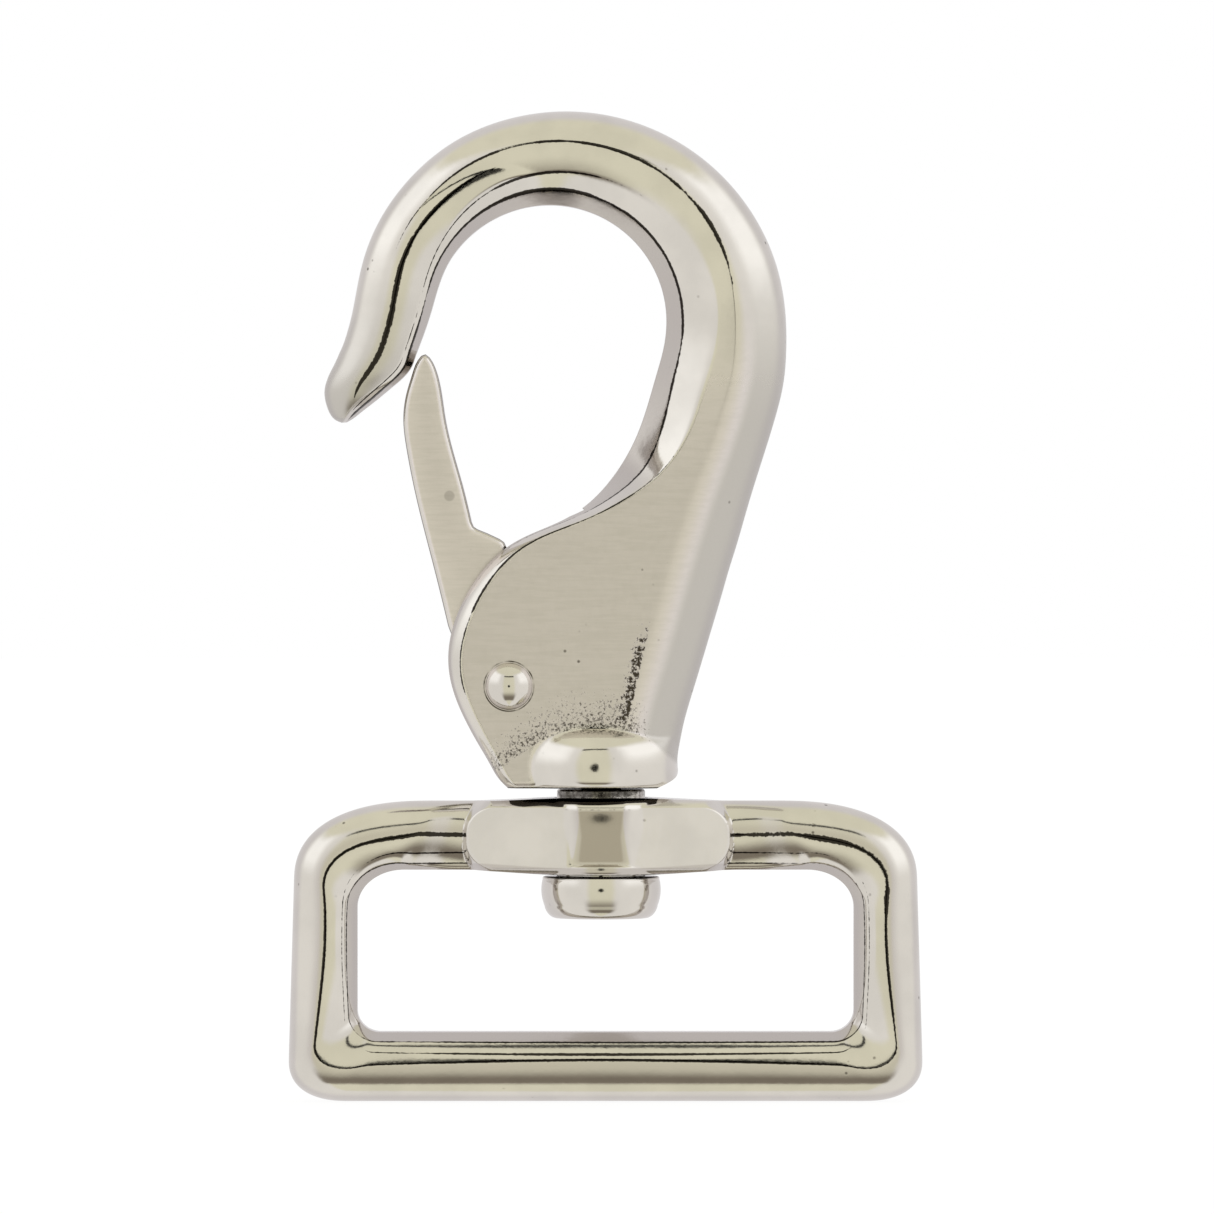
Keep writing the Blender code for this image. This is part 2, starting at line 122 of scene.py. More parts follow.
def blur(values, sigma, closed=False):
    """Rows smoothed with a bell of sigma rows; a second pass gives back what the first one shrank."""
    reach = int(4 * sigma) + 1
    bell = np.exp(-0.5 * (np.arange(-reach, reach + 1) / sigma) ** 2)
    bell /= bell.sum()

    def once(rows):
        if closed:
            padded = np.concatenate([rows[-reach:], rows, rows[:reach]])
        else:
            head = 2 * rows[0] - rows[reach:0:-1]
            tail = 2 * rows[-1] - rows[-2:-reach - 2:-1]
            padded = np.concatenate([head, rows, tail])
        columns = [np.convolve(padded[:, j], bell, "valid") for j in range(rows.shape[1])]
        return np.stack(columns, axis=1)

    first = once(values)
    return 2 * first - once(first)


def arc(centre, radius, start, end, steps):
    """Points on a circle between two angles in degrees."""
    angles = np.radians(np.linspace(start, end, steps))
    x = centre[0] + radius * np.cos(angles)
    return np.stack([x, centre[1] + radius * np.sin(angles)], axis=1)


def read_columns(keys, table, places):
    """Each column of a table that has one row a key, read in proportion at the places."""
    return np.stack([np.interp(places, keys, values) for values in table.T], axis=1)


def read_sections(sections, places):
    """The sizes in rows of SECTIONS' kind, as plain columns, read at the places."""
    table = np.array([np.hstack(row) for row in sections], float)
    return read_columns(table[:, 0], table[:, 1:], places)


# ---------------- mesh building

FRONT_TO_BACK = Matrix.Rotation(math.radians(90), 4, "X")


def new_object(name, mesh):
    obj = bpy.data.objects.new(name, mesh)
    bpy.context.scene.collection.objects.link(obj)
    return obj


def mesh_from(name, points, faces):
    mesh = bpy.data.meshes.new(name)
    mesh.from_pydata([tuple(p) for p in points], [], faces)
    mesh.update()
    return mesh


def clean(mesh, merge=2e-7, sliver=1e-7):
    """Joins points closer than merge, removes slivers if asked, and turns the faces outward."""
    shell = bmesh.new()
    shell.from_mesh(mesh)
    bmesh.ops.remove_doubles(shell, verts=shell.verts, dist=merge)
    if sliver:
        bmesh.ops.dissolve_degenerate(shell, edges=shell.edges, dist=sliver)
    bmesh.ops.recalc_face_normals(shell, faces=shell.faces)
    shell.to_mesh(mesh)
    shell.free()


def shade(mesh, angle):
    mesh.shade_smooth()
    mesh.set_sharp_from_angle(angle=math.radians(angle))


def evaluated_mesh(obj):
    """The object's mesh with its modifiers, or with its curve's fill and bevel."""
    bpy.context.view_layer.update()
    evaluated = obj.evaluated_get(bpy.context.evaluated_depsgraph_get())
    return bpy.data.meshes.new_from_object(evaluated)


def ring_loft(name, rings, closed, marks=None):
    """A skin over equal rings of points in millimetres; marks are named numbers kept at the points."""
    count, size = rings.shape[0], rings.shape[1]
    points = rings.reshape(-1, 3) * MM
    faces = []
    for i in range(count if closed else count - 1):
        low = i * size
        high = ((i + 1) % count) * size
        for j in range(size):
            k = (j + 1) % size
            faces.append((low + j, low + k, high + k, high + j))
    if not closed:
        faces.append(tuple(range(size)))
        faces.append(tuple(range((count - 1) * size, count * size)))
    mesh = mesh_from(name, points, faces)
    for mark, values in (marks or {}).items():
        attribute = mesh.attributes.new(mark, "FLOAT", "POINT")
        attribute.data.foreach_set("value", values.ravel().astype(np.float32))
    clean(mesh)
    return mesh


def turned(name, profile, steps):
    """A solid turned about Z, from (radius, height) points in millimetres, top to bottom."""
    angles = np.linspace(0, 2 * math.pi, steps, endpoint=False)
    rings = []
    for radius, height in profile:
        ring = [radius * np.cos(angles), radius * np.sin(angles), np.full(steps, height)]
        rings.append(np.stack(ring, axis=1))
    return ring_loft(name, np.stack(rings), closed=False)


def cylinder(name, radius, low, high, steps=64):
    """An upright cylinder used as a cutter, in millimetres."""
    profile = [(0.001, high), (radius, high), (radius, low), (0.001, low)]
    return new_object(name, turned(name, profile, steps))


def cut(target, cutter):
    """Takes the cutter's solid out of the target, and the cutter out of the scene."""
    modifier = target.modifiers.new("cut", "BOOLEAN")
    modifier.operation = "DIFFERENCE"
    modifier.solver = "EXACT"
    modifier.object = cutter
    mesh = evaluated_mesh(target)
    target.modifiers.clear()
    target.data = mesh
    bpy.data.objects.remove(cutter, do_unlink=True)


def plate(name, outline, half_thickness, edge, rounds=5):
    """A flat plate in the XZ plane with rounded rims, from an outline seen from the front."""
    curve = bpy.data.curves.new(name, "CURVE")
    curve.dimensions = "2D"
    curve.fill_mode = "BOTH"
    curve.extrude = (half_thickness - edge) * MM
    curve.bevel_depth = edge * MM
    curve.offset = -edge * MM
    curve.bevel_resolution = rounds
    strand = curve.splines.new("POLY")
    strand.points.add(len(outline) - 1)
    for point, (x, z) in zip(strand.points, outline):
        point.co = (x * MM, z * MM, 0.0, 1.0)
    strand.use_cyclic_u = True
    holder = new_object(name, curve)
    mesh = evaluated_mesh(holder)
    bpy.data.objects.remove(holder, do_unlink=True)
    mesh.transform(FRONT_TO_BACK)
    clean(mesh, merge=1e-6, sliver=None)
    return new_object(name, mesh)


def move_to_pivot(obj):
    obj.data.transform(Matrix.Translation((PIVOT[0] * MM, 0.0, PIVOT[2] * MM)))


def fit_box(obj, node):
    """Stretches the piece a little along each axis, so that its box is the CAD node's box."""
    low, high = (np.array(corner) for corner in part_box(node))
    flat = np.empty(len(obj.data.vertices) * 3)
    obj.data.vertices.foreach_get("co", flat)
    points = flat.reshape(-1, 3)
    own_low, own_high = points.min(0), points.max(0)
    scale = (high - low) / (own_high - own_low)
    points = low + (points - own_low) * scale
    obj.data.vertices.foreach_set("co", points.ravel())
    obj.data.update()


# ---------------- bars with facets and crowns

THINNEST = 0.02
RIM_STEPS = 4
# width and least darkness of the painted dark lines: painted shade on edges, a painted reflection of the
# dark lens on crests
PAINTED_LINE_WIDTH = 0.11
PAINTED_LINE_LEAST = 0.6
CREST_BLEND = 0.012
CROWN_BLEND = 0.02
FACET_BLEND = 0.08
BEVEL_BLEND = 0.09


def section_spread(stops, counts):
    """Places across a section, gathered towards both ends of each stretch between two stops."""
    parts = []
    for start, end, count in zip(stops, stops[1:], counts):
        share = 0.5 - 0.5 * np.cos(np.linspace(0, math.pi, count, endpoint=False))
        parts.append(column(start) + column(end - start) * share[None, :])
    return np.concatenate(parts + [column(stops[-1])], axis=1)


def crown_depth(crown, width, s):
    """Half depth of one crown: a shallow curve up to its crest, then an ellipse to the outer edge."""
    from_edge, height, curvature, slope, angle = crown
    angle = np.radians(angle)
    back = column(width - from_edge) - s
    inside = column(height) - column(slope) * back
    inside = inside - 0.5 * column(curvature) * np.maximum(back, 0.0) ** 2
    wide = from_edge / (1 - np.sin(angle))
    tall = height / np.cos(angle)
    run = np.clip((-back + column(wide * np.sin(angle))) / column(wide), 0.0, 1.0)
    return smooth_min(inside, column(tall) * quarter(run), CREST_BLEND)


def painted_line_across(s, at, dark):
    """A painted dark line at a place across the section, wider the darker it is."""
    thick = PAINTED_LINE_WIDTH * np.maximum(dark, PAINTED_LINE_LEAST)
    return column(np.minimum(dark, 1.0)) * np.exp(-(((s - column(at)) / column(thick)) ** 2))


def full_ring(front, at_rim, flip):
    """The front's values, those on the rims between front and back, and the back's, as one ring."""
    steps = np.linspace(0, 1, RIM_STEPS + 1)[:-1]
    first = np.stack([at_rim(front[:, 0], step) for step in steps], axis=1)
    final = np.stack([at_rim(front[:, -1], step) for step in steps], axis=1)
    half = np.concatenate([first, front, final[:, :0:-1]], axis=1)
    return np.concatenate([half, final[:, :1], half[:, :0:-1] * flip], axis=1)


def bar_rings(inner, outer, sizes, counts, reshape, crest_shade=0.0):
    """Rings of a bar that is alike front and back, and marks for its finish, its painted dark lines and
    its painted shade. Inner and outer are the bar's two edges. Sizes has one row a station, with SECTIONS'
    columns. Reshape adds local shapes and marks of painted shade and painted shadow. The last argument is
    how dark the painted shade beside the first crest is."""
    along = outer - inner
    width = np.linalg.norm(along, axis=1)
    land, facet, facet_depth, bevel, bevel_depth, bulge = sizes.T[:6]
    crown1, crown2 = sizes.T[6:11].copy(), sizes.T[11:16].copy()
    darkness = sizes.T[16:]
    total = facet + bevel + np.maximum(crown1[0], crown2[0])
    shrink = np.minimum(1.0, 0.94 * width / total)
    facet, bevel = facet * shrink, bevel * shrink
    crown1[0] *= shrink
    crown2[0] *= shrink
    crest1, crest2 = width - crown1[0], width - crown2[0]
    low = np.minimum(crest1, crest2)
    high = np.maximum(np.maximum(crest1, crest2), low + 0.02)
    s = section_spread([np.zeros_like(width), facet, facet + bevel, low, high, width], counts)
    last = counts[-1]
    share = np.sin(np.linspace(0, math.pi / 2, last + 1))
    s[:, -last - 1:] = column(high) + column(width - high) * share[None, :]

    on_facet = column(land) + s * column((facet_depth - land) / facet)
    part = (s - column(facet)) / column(bevel)
    swell = np.where(part < 1, 4 * part * (1 - part), -4 * (part - 1))
    on_bevel = column(facet_depth) + part * column(bevel_depth - facet_depth) + column(bulge) * swell
    top = smooth_max(crown_depth(crown1, width, s), crown_depth(crown2, width, s), CROWN_BLEND)
    depth = smooth_min(smooth_min(on_facet, on_bevel, FACET_BLEND), top, BEVEL_BLEND)
    depth = np.maximum(depth, THINNEST)

    # painted dark lines: painted shade along the facet's and the bevel's edges, a painted reflection of the
    # dark lens along the crests
    ink = painted_line_across(s, facet, darkness[0])
    for at, dark in zip((facet + bevel, crest1, crest2), darkness[1:]):
        ink = np.maximum(ink, painted_line_across(s, at, dark))
    bevel_edge = column(facet + bevel)
    polish = smooth_step(s, bevel_edge + 0.25, bevel_edge + 0.02)
    # painted shade on the inner facet, on the walls that face across the opening
    painted_shade = smooth_step(s, column(facet) + 0.08, column(facet) - 0.04)

    share = s / column(width)
    x = column(inner[:, 0]) + column(along[:, 0]) * share
    z = column(inner[:, 1]) + column(along[:, 1]) * share
    shaped, shade_mark, painted_shadow_mark = reshape(x, depth, z)
    shaped = np.maximum(shaped, THINNEST)
    raised = shaped > depth + 0.03
    # painted shade beside the first crest
    beside = crest_shade * np.exp(-(((s - column(crest1 + 0.38)) / 0.42) ** 2))
    painted_shade = np.maximum(np.maximum(painted_shade, np.where(raised, 0.0, beside)), shade_mark)
    ink = np.maximum(np.where(raised, 0.0, ink), painted_shadow_mark)

    front = np.stack([x, -shaped, z], axis=2)
    rings = full_ring(front, lambda point, share: point * np.array([1, share, 1]), np.array([1, -1, 1]))
    # the mark named inner holds the painted shade
    marks = {"ink": ink, "polish": polish, "inner": painted_shade}
    for name, values in marks.items():
        marks[name] = full_ring(values, lambda value, share: value, 1)
    return rings, marks


# ---------------- where the CAD puts things

joint_at = {joint["name"]: joint for joint in frame["joints"]}
PIVOT = tuple(value / MM for value in joint_at["gate_pivot"]["pos_m"])
BODY_FOOT = (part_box("hook_body")[0] / MM).z
LOOP_FOOT, LOOP_TOP = ((corner / MM).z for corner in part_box("strap_loop"))

# ---------------- hook casting

# inner and outer edge of the hook, as (x, z) pairs: from the nose to the bend, then down the neck
NOSE = [
    ((-19.55, 46.95), (-19.95, 46.93)),
    ((-19.02, 47.26), (-20.50, 47.20)),
    ((-18.30, 47.83), (-20.92, 47.80)),
    ((-17.25, 48.65), (-21.20, 48.70)),
    ((-16.20, 49.52), (-21.22, 49.60)),
    ((-15.20, 50.38), (-20.90, 50.60)),
    ((-14.55, 51.20), (-20.45, 51.50)),
    ((-14.25, 52.00), (-20.05, 52.40)),
    ((-13.80, 53.20), (-19.65, 53.40)),
    ((-12.90, 55.80), (-19.00, 55.80)),
    ((-12.30, 58.00), (-18.60, 58.10)),
    ((-11.40, 59.70), (-17.90, 60.40)),
    ((-10.20, 61.10), (-16.40, 63.70)),
]
NECK = [
    ((4.3, 50.8), (14.0, 49.6)),
    ((3.6, 48.3), (13.3, 46.9)),
    ((2.7, 45.7), (12.5, 44.3)),
    ((1.3, 43.3), (11.7, 41.8)),
    ((-0.9, 40.6), (11.0, 39.4)),
    ((-3.5, 39.1), (10.5, 37.6)),
    ((-6.2, 38.0), (10.0, 36.1)),
    ((-8.3, 36.4), (9.6, 34.7)),
    ((-10.1, 34.0), (9.0, 32.6)),
    ((-11.3, 31.3), (8.3, 30.3)),
    ((-11.7, 28.6), (7.6, 27.9)),
    ((-11.2, 25.9), (6.9, 25.6)),
    ((-9.9, 23.2), (6.2, 23.2)),
    ((-8.6, 20.9), (5.9, 20.9)),
    ((-7.9, 19.7), (5.8, 19.7)),
    ((-7.1, 18.85), (4.3, 18.85)),
]
BEND_STEPS = 11
STATION_STEP = 0.1
NECK_AT = len(NOSE) + BEND_STEPS
FOOT_AT = NECK_AT + 11

CHEEK = 3.9
LOW_CREST = (5.2, 2.3, 0, 0, 0)
CHEEK_CREST = (4.9, CHEEK, 0, 0, 0)

# A row holds a station, then (land, facet, facet's depth, bevel, bevel's depth, bulge), then for each
# of two crowns (crest's distance from the outer edge, its height, curvature, slope, start angle), then
# how dark the painted lines are on the facet's edge, on the bevel's edge and on the two crests: painted
# shade on the edges, a painted reflection of the dark lens on the crests.
SECTIONS = [
    (0, (0.15, 0.15, 0.3, 0.1, 0.4, 0), (0.4, 0.5, 0.4, 0, 0),
     (0.3, 0.3, 0.3, 0, 0), (0, 0, 0, 0)),
    (1, (0.4, 0.3, 0.95, 0.2, 1.15, 0), (1.0, 1.3, 0.3, 0, 0),
     (0.9, 0.9, 0.25, 0, 0), (0.6, 0, 0, 0)),
    (2, (0.5, 0.4, 1.3, 0.35, 1.6, 0), (1.7, 1.8, 0.25, 0.02, 1),
     (1.4, 1.3, 0.22, 0, 0), (1.2, 0.5, 0, 0)),
    (3, (0.6, 0.45, 1.55, 0.5, 1.95, 0), (2.3, 2.2, 0.22, 0.04, 2),
     (1.8, 1.6, 0.2, 0, 0), (1.2, 0.8, 0.5, 0)),
    (5, (0.7, 0.5, 1.95, 0.5, 2.3, 0), (2.9, 2.58, 0.2, 0.05, 3),
     (2.2, 1.9, 0.19, 0, 0), (0.9, 0.7, 2.1, 0)),
    (7, (0.7, 0.5, 2.05, 0.35, 2.35, 0), (3.1, 2.7, 0.2, 0.05, 3),
     (2.3, 2.1, 0.18, 0, 0), (0.9, 0.5, 2.3, 0)),
    (9, (0.7, 0.65, 2.15, 0.35, 2.45, 0), (3.1, 2.85, 0.2, 0.05, 3),
     (2.4, 2.3, 0.17, 0, 0), (0.9, 0.6, 2.3, 0)),
    (10.5, (0.7, 0.72, 2.2, 0.45, 2.55, 0), (3.1, 2.92, 0.18, 0.05, 3),
     (2.3, 2.5, 0.15, 0, 10), (0.8, 0.6, 2.2, 0.3)),
    (12.5, (0.6, 0.85, 2.05, 0.75, 2.62, 0), (3.2, 2.97, 0.16, 0.03, 2),
     (2.2, 2.92, 0.13, 0.04, 25), (0.9, 0.6, 1.6, 0.8)),
    (14.3, (0.45, 1.05, 1.85, 1.1, 2.74, 0), (3.4, 3.05, 0.14, 0, 0),
     (2.3, 3.22, 0.13, 0.07, 27), (1.5, 1.0, 0.2, 1.0)),
    (15.4, (0.45, 1.15, 1.8, 1.25, 2.84, 0), (3.4, 2.85, 0.14, 0, 0),
     (2.4, 3.38, 0.13, 0.07, 27), (1.6, 1.1, 0, 1.0)),
    (18, (0.45, 1.2, 1.9, 1.7, 3.1, 0.05), (4.0, 2.4, 0.14, 0, 0),
     (2.8, 3.55, 0.12, 0.07, 24), (1.0, 0.4, 0, 1.3)),
    (20, (0.5, 1.22, 2.2, 2.2, 3.42, 0.08), (4.4, 2.3, 0.14, 0, 0),
     (3.3, 3.68, 0.1, 0.05, 16), (0.9, 0, 0, 1.8)),
    (21.55, (0.5, 1.23, 2.35, 2.75, 3.72, 0.07), (4.4, 2.3, 0.14, 0, 0),
     (3.85, 3.8, 0.03, 0.06, 8), (0.9, 0, 0, 0.2)),
    (NECK_AT, (0.5, 1.35, 2.45, 2.5, 3.82, 0.06), (4.6, 2.3, 0.1, 0, 0),
     (4.1, CHEEK, 0.005, 0.07, 4), (0.9, 0, 0, 0)),
    (NECK_AT + 1.5, (0.5, 1.6, 2.5, 2.1, 3.87, 0.06), (4.8, 2.3, 0.05, 0, 0),
     (4.3, CHEEK, 0, 0.04, 0), (1.0, 0.2, 0, 0)),
    (NECK_AT + 3, (0.5, 1.85, 2.45, 1.3, 3.88, 0.05), (5.0, 2.3, 0, 0, 0),
     (4.6, CHEEK, 0, 0, 0), (0.8, 0.6, 0, 0)),
    (NECK_AT + 4, (1.5, 0.9, 2.75, 1.05, 3.89, 0.08), LOW_CREST,
     (4.8, CHEEK, 0, 0, 0), (0.7, 1.1, 0, 0)),
    (NECK_AT + 5, (2.7, 0.2, 3.0, 0.95, 3.89, 0.1), LOW_CREST, CHEEK_CREST, (0.5, 1.2, 0, 0)),
    (NECK_AT + 9, (2.7, 0.2, 3.0, 0.85, 3.89, 0.08), LOW_CREST, CHEEK_CREST, (0.3, 0.9, 0, 0)),
    (NECK_AT + 10.5, (2.85, 0.18, 3.2, 0.7, 3.89, 0.06), LOW_CREST, CHEEK_CREST, (0.3, 0.4, 0, 0)),
    (NECK_AT + 10.8, (2.85, 0.18, 3.2, 0.7, 3.89, 0.06), LOW_CREST, CHEEK_CREST, (0.3, 1.5, 0, 0)),
    (NECK_AT + 11.2, (2.85, 0.18, 3.2, 0.7, 3.89, 0.06), LOW_CREST, CHEEK_CREST, (0.3, 0, 0, 0)),
    (NECK_AT + 15, (2.95, 0.18, 3.35, 0.55, 3.89, 0.02), (5.0, 2.3, 0, 0, 0),
     (4.5, CHEEK, 0, 0, 0), (0.3, 0, 0, 0)),
]
SECTION_COUNTS = (8, 12, 40, 12, 26)

BOSS_X = -0.4
BOSS_LEFT = -6.8
BOSS_WAIST = 20.4
BOSS_DOME = 3.05
BOSS_SHOULDER = 3.35
BOSS_HALF = 5.9
BOSS_BARREL = 7.0
BOSS_SPREAD = 4.7
BOSS_EDGE = 6.3
FOOT_ROUND = 0.6

SLOT = [
    (-0.9, 39.9), (-0.1, 35.4), (0.1, 29.0), (0.8, 26.6), (2.5, 24.8), (2.5, 22.6),
    (-14.0, 22.6), (-14.0, 41.5), (-3.0, 41.5),
]
SLOT_HALF = 2.2
STEM_BORE = 1.6
STEM_BORE_TOP = 24.6
PIN_BORE = 1.45


def boss_depth(x, z):
    """Half depth of the boss round the swivel bore: domed above its waist and barrel-shaped below."""
    up = np.clip((z - BOSS_WAIST) / BOSS_DOME, 0.0, 1.0)
    down = np.maximum(BOSS_WAIST - z, 0.0)
    depth = BOSS_SHOULDER + (BOSS_HALF - BOSS_SHOULDER) * quarter(up) - down**2 / BOSS_BARREL
    off = x - BOSS_X
    spread = BOSS_SPREAD * (np.sqrt(1 + (off / BOSS_SPREAD) ** 2) - 1)
    edge = BOSS_HALF * quarter(np.clip(off / BOSS_EDGE, 0.0, 1.0))
    return np.where(z < BOSS_WAIST + BOSS_DOME, smooth_min(depth - spread, edge, 0.5), 0.0)


def shape_casting(x, depth, z):
    """The boss, the rounded foot under it and a painted shadow line where the foot faces the loop."""
    near_boss = (z < BOSS_WAIST + BOSS_DOME + 0.5) & (x > BOSS_LEFT)
    depth = np.where(near_boss, smooth_max(depth, boss_depth(x, z), 0.22), depth)
    foot = np.clip(1 - (z - BODY_FOOT) / FOOT_ROUND, 0.0, 1.0)
    depth = depth - 0.55 * (1 - np.sqrt(1 - 0.98 * foot**2)) * (depth > 1.0)
    # painted shadow along the foot's lowest edge, beside the loop
    contact_shadow = 0.9 * smooth_step(z, BODY_FOOT + 0.22, BODY_FOOT + 0.06)
    return depth, np.zeros_like(depth), contact_shadow


def hook_skin():
    """The casting's skin. The stations lie closer together at the nose and at the foot."""
    inner = arc(centre=(-3.93, 54.66), radius=9.0, start=122, end=-14, steps=BEND_STEPS)
    outer = arc(centre=(-2.66, 53.89), radius=17.0, start=128, end=-8, steps=BEND_STEPS)
    pairs = [(*a, *b) for a, b in NOSE + list(zip(inner, outer)) + NECK]
    last = len(pairs) - 1
    stations = np.arange(0, last + 1e-9, STATION_STEP)
    rows = spline(np.arange(len(pairs)), pairs, stations)
    weight = smooth_step(stations, 7.5, 10.0) * (1 - smooth_step(stations, last - 3.0, last - 2.0))
    rows = rows + (blur(rows, 0.75 / STATION_STEP) - rows) * column(weight)
    raw = read_sections(SECTIONS, stations)
    sizes = blur(raw, 0.45 / STATION_STEP)
    sizes = sizes + (raw - sizes) * column(1 - smooth_step(stations, 1.0, 3.0))
    spans = ((0, 3, 0.08), (3, 13, 0.12), (13, FOOT_AT, 0.14), (FOOT_AT, last, 0.05))
    places = np.concatenate([np.arange(*span) for span in spans] + [[last]])
    rows = read_columns(stations, rows, places)
    sizes = read_columns(stations, sizes, places)
    rings, marks = bar_rings(rows[:, :2], rows[:, 2:], sizes, SECTION_COUNTS, shape_casting)
    return ring_loft("hook_casting", rings, closed=False, marks=marks)


def hook_casting():
    """Hook, neck, cheeks and boss in one, with the gate's slot, the swivel bore and the rivet's hole."""
    casting = new_object("hook_casting", hook_skin())
    fit_box(casting, "hook_body")
    cut(casting, plate("slot", SLOT, SLOT_HALF, 0.0))
    cut(casting, cylinder("swivel_bore", STEM_BORE, BODY_FOOT - 2.0, STEM_BORE_TOP))
    pin_hole = cylinder("pin_hole", PIN_BORE, -8.0, 8.0)
    pin_hole.data.transform(FRONT_TO_BACK)
    move_to_pivot(pin_hole)
    cut(casting, pin_hole)
    shade(casting.data, 48)
    return casting


# ---------------- gate, rivet, spring

# the tongue's outline as (x, z) from the pivot: left side, round tip, right side, shoulder
TONGUE_LEFT = [
    (-4.7, 4.6), (-5.6, 8.3), (-7.3, 15.1), (-7.9, 18.2), (-8.15, 20.5), (-7.9, 22.5), (-7.45, 24.0),
]
TONGUE_TIP = [(-6.95, 25.15), (-6.5, 25.5), (-6.05, 25.15)]
TONGUE_RIGHT = [(-5.75, 24.6), (-4.9, 20.5), (-3.5, 15.1), (-2.9, 12.6)]
TONGUE_SHOULDER = [
    (-2.75, 12.25), (-2.45, 12.05), (-1.6, 11.7), (-0.75, 11.3), (-0.4, 11.05), (-0.2, 10.6), (-0.15, 10.2),
]
GATE_HALF = 1.9
GATE_EDGE = 0.45
HUB = 3.4
FORK = [(-2.15, -4.0), (-2.15, 0.0), (-3.5, 5.6), (-3.1, 6.5), (-1.5, 6.8), (5.0, 6.8), (5.0, -4.0)]
FORK_HALF = 0.95
GATE_BORE = 1.5

RIVET_DOME = 2.03
RIVET_HEAD = 1.87


def gate_tongue():
    """The tongue with its round hub, its fork for the spring and its bore."""
    edge = np.array(TONGUE_LEFT + TONGUE_TIP + TONGUE_RIGHT)
    run = np.concatenate([[0], np.cumsum(np.linalg.norm(np.diff(edge, axis=0), axis=1))])
    edge = spline(run, edge, np.linspace(0, run[-1], 90))
    hub = arc((0.0, 0.0), HUB, 15, -195, 48)
    outline = [tuple(p) for p in edge] + TONGUE_SHOULDER + [tuple(p) for p in hub]
    tongue = plate("gate_tongue", outline, GATE_HALF, GATE_EDGE, rounds=6)
    cut(tongue, plate("fork", FORK, FORK_HALF, 0.0))
    bore = cylinder("gate_hole", GATE_BORE, -4.0, 4.0)
    bore.data.transform(FRONT_TO_BACK)
    cut(tongue, bore)
    move_to_pivot(tongue)
    fit_box(tongue, "gate")
    shade(tongue.data, 35)
    return tongue


def rivet():
    """The gate's rivet: a shank and a round dome on each cheek."""
    seat = CHEEK + 0.03
    rim = math.degrees(math.acos(RIVET_HEAD / RIVET_DOME))
    lift = RIVET_DOME * math.sin(math.radians(rim))
    top = [(x, seat - lift + y) for x, y in arc((0.0, 0.0), RIVET_DOME, 89.5, rim, 26)]
    top += [(1.80, seat), (1.3, seat)]
    profile = top + [(radius, -height) for radius, height in reversed(top)]
    pin = new_object("gate_rivet", turned("gate_rivet", profile, 96))
    pin.data.transform(FRONT_TO_BACK)
    move_to_pivot(pin)
    fit_box(pin, "gate_pin")
    shade(pin.data, 40)
    return pin


def wire(name, points, radius, sides):
    """A round wire along points, with rings turned as little as possible from one to the next."""
    points = np.array(points)
    tangent = np.gradient(points, axis=0)
    tangent /= column(np.linalg.norm(tangent, axis=1))
    side = np.cross(tangent[0], (0.3, 0.9, 0.1))
    rings = []
    angles = column(np.linspace(0, 2 * math.pi, sides, endpoint=False))
    for point, along in zip(points, tangent):
        side = side - along * side.dot(along)
        side /= np.linalg.norm(side)
        other = np.cross(along, side)
        rings.append(point + radius * (np.cos(angles) * side + np.sin(angles) * other))
    return ring_loft(name, np.array(rings), closed=False)


def torsion_spring():
    """The coil round the rivet, with one leg on the gate and one on the slot's floor."""
    coil, turns, pitch, wire_radius = 1.72, 2, 0.54, 0.25
    gate_angle, gate_leg, body_angle, body_leg = 104.0, 5.4, 38.0, 7.3
    start, end = gate_angle + 90.0, body_angle - 90.0 + 360.0
    sweep = end - start + 360.0 * turns
    half = 0.5 * pitch * sweep / 360.0
    share = np.linspace(0, 1, 150)
    angle = np.radians(start + sweep * share)
    middle = np.stack([coil * np.cos(angle), half * (2 * share - 1), coil * np.sin(angle)], axis=1)
    reach = column(np.linspace(1, 0, 30, endpoint=False))

    def leg(length, degrees):
        return length * np.array([math.cos(math.radians(degrees)), 0.0, math.sin(math.radians(degrees))])

    first = middle[0] + reach * leg(gate_leg, gate_angle)
    last = middle[-1] + reach[::-1] * leg(body_leg, body_angle)
    points = np.concatenate([first, middle, last]) + np.array([PIVOT[0], 0.0, PIVOT[2]])
    spring = new_object("gate_torsion_spring", wire("gate_torsion_spring", points, wire_radius, 16))
    fit_box(spring, "gate_spring")
    shade(spring.data, 60)
    return spring


# ---------------- stem and loop


def stem():
    """Riveted tail, shank, journal and button head, on the swivel axis."""
    tail = [(1.95 * x, 22.7 + 0.75 * y) for x, y in arc((0.0, 0.0), 1.0, 89.5, 0, 14)]
    shank = [(1.42, 22.68), (1.4, 22.6), (1.4, 18.75)]
    journal = [(1.5, 18.7), (3.2, 18.7), (3.33, 18.64), (3.4, 18.5), (3.4, 12.05)]
    top = [(3.45, 12.0), (4.30, 12.0), (4.44, 11.96), (4.50, 11.88)]
    barrel = [(1.3 + x, 10.96 + z) for x, z in arc((0.0, 0.0), 3.3, 14, -22, 26)]
    radius, height = barrel[-1]
    curl = arc((0.0, 0.0), 1.0, -22, -88, 20)[1:]
    foot = [(radius - 0.95 + 1.02 * x, height + 0.45 + 1.42 * z) for x, z in curl]
    profile = tail + shank + journal + top + barrel + foot + [(1.2, 8.78), (0.01, 8.78)]
    piece = new_object("swivel_stem_headed", turned("swivel_stem_headed", profile, 128))
    fit_box(piece, "swivel_stem")
    shade(piece.data, 40)
    return piece


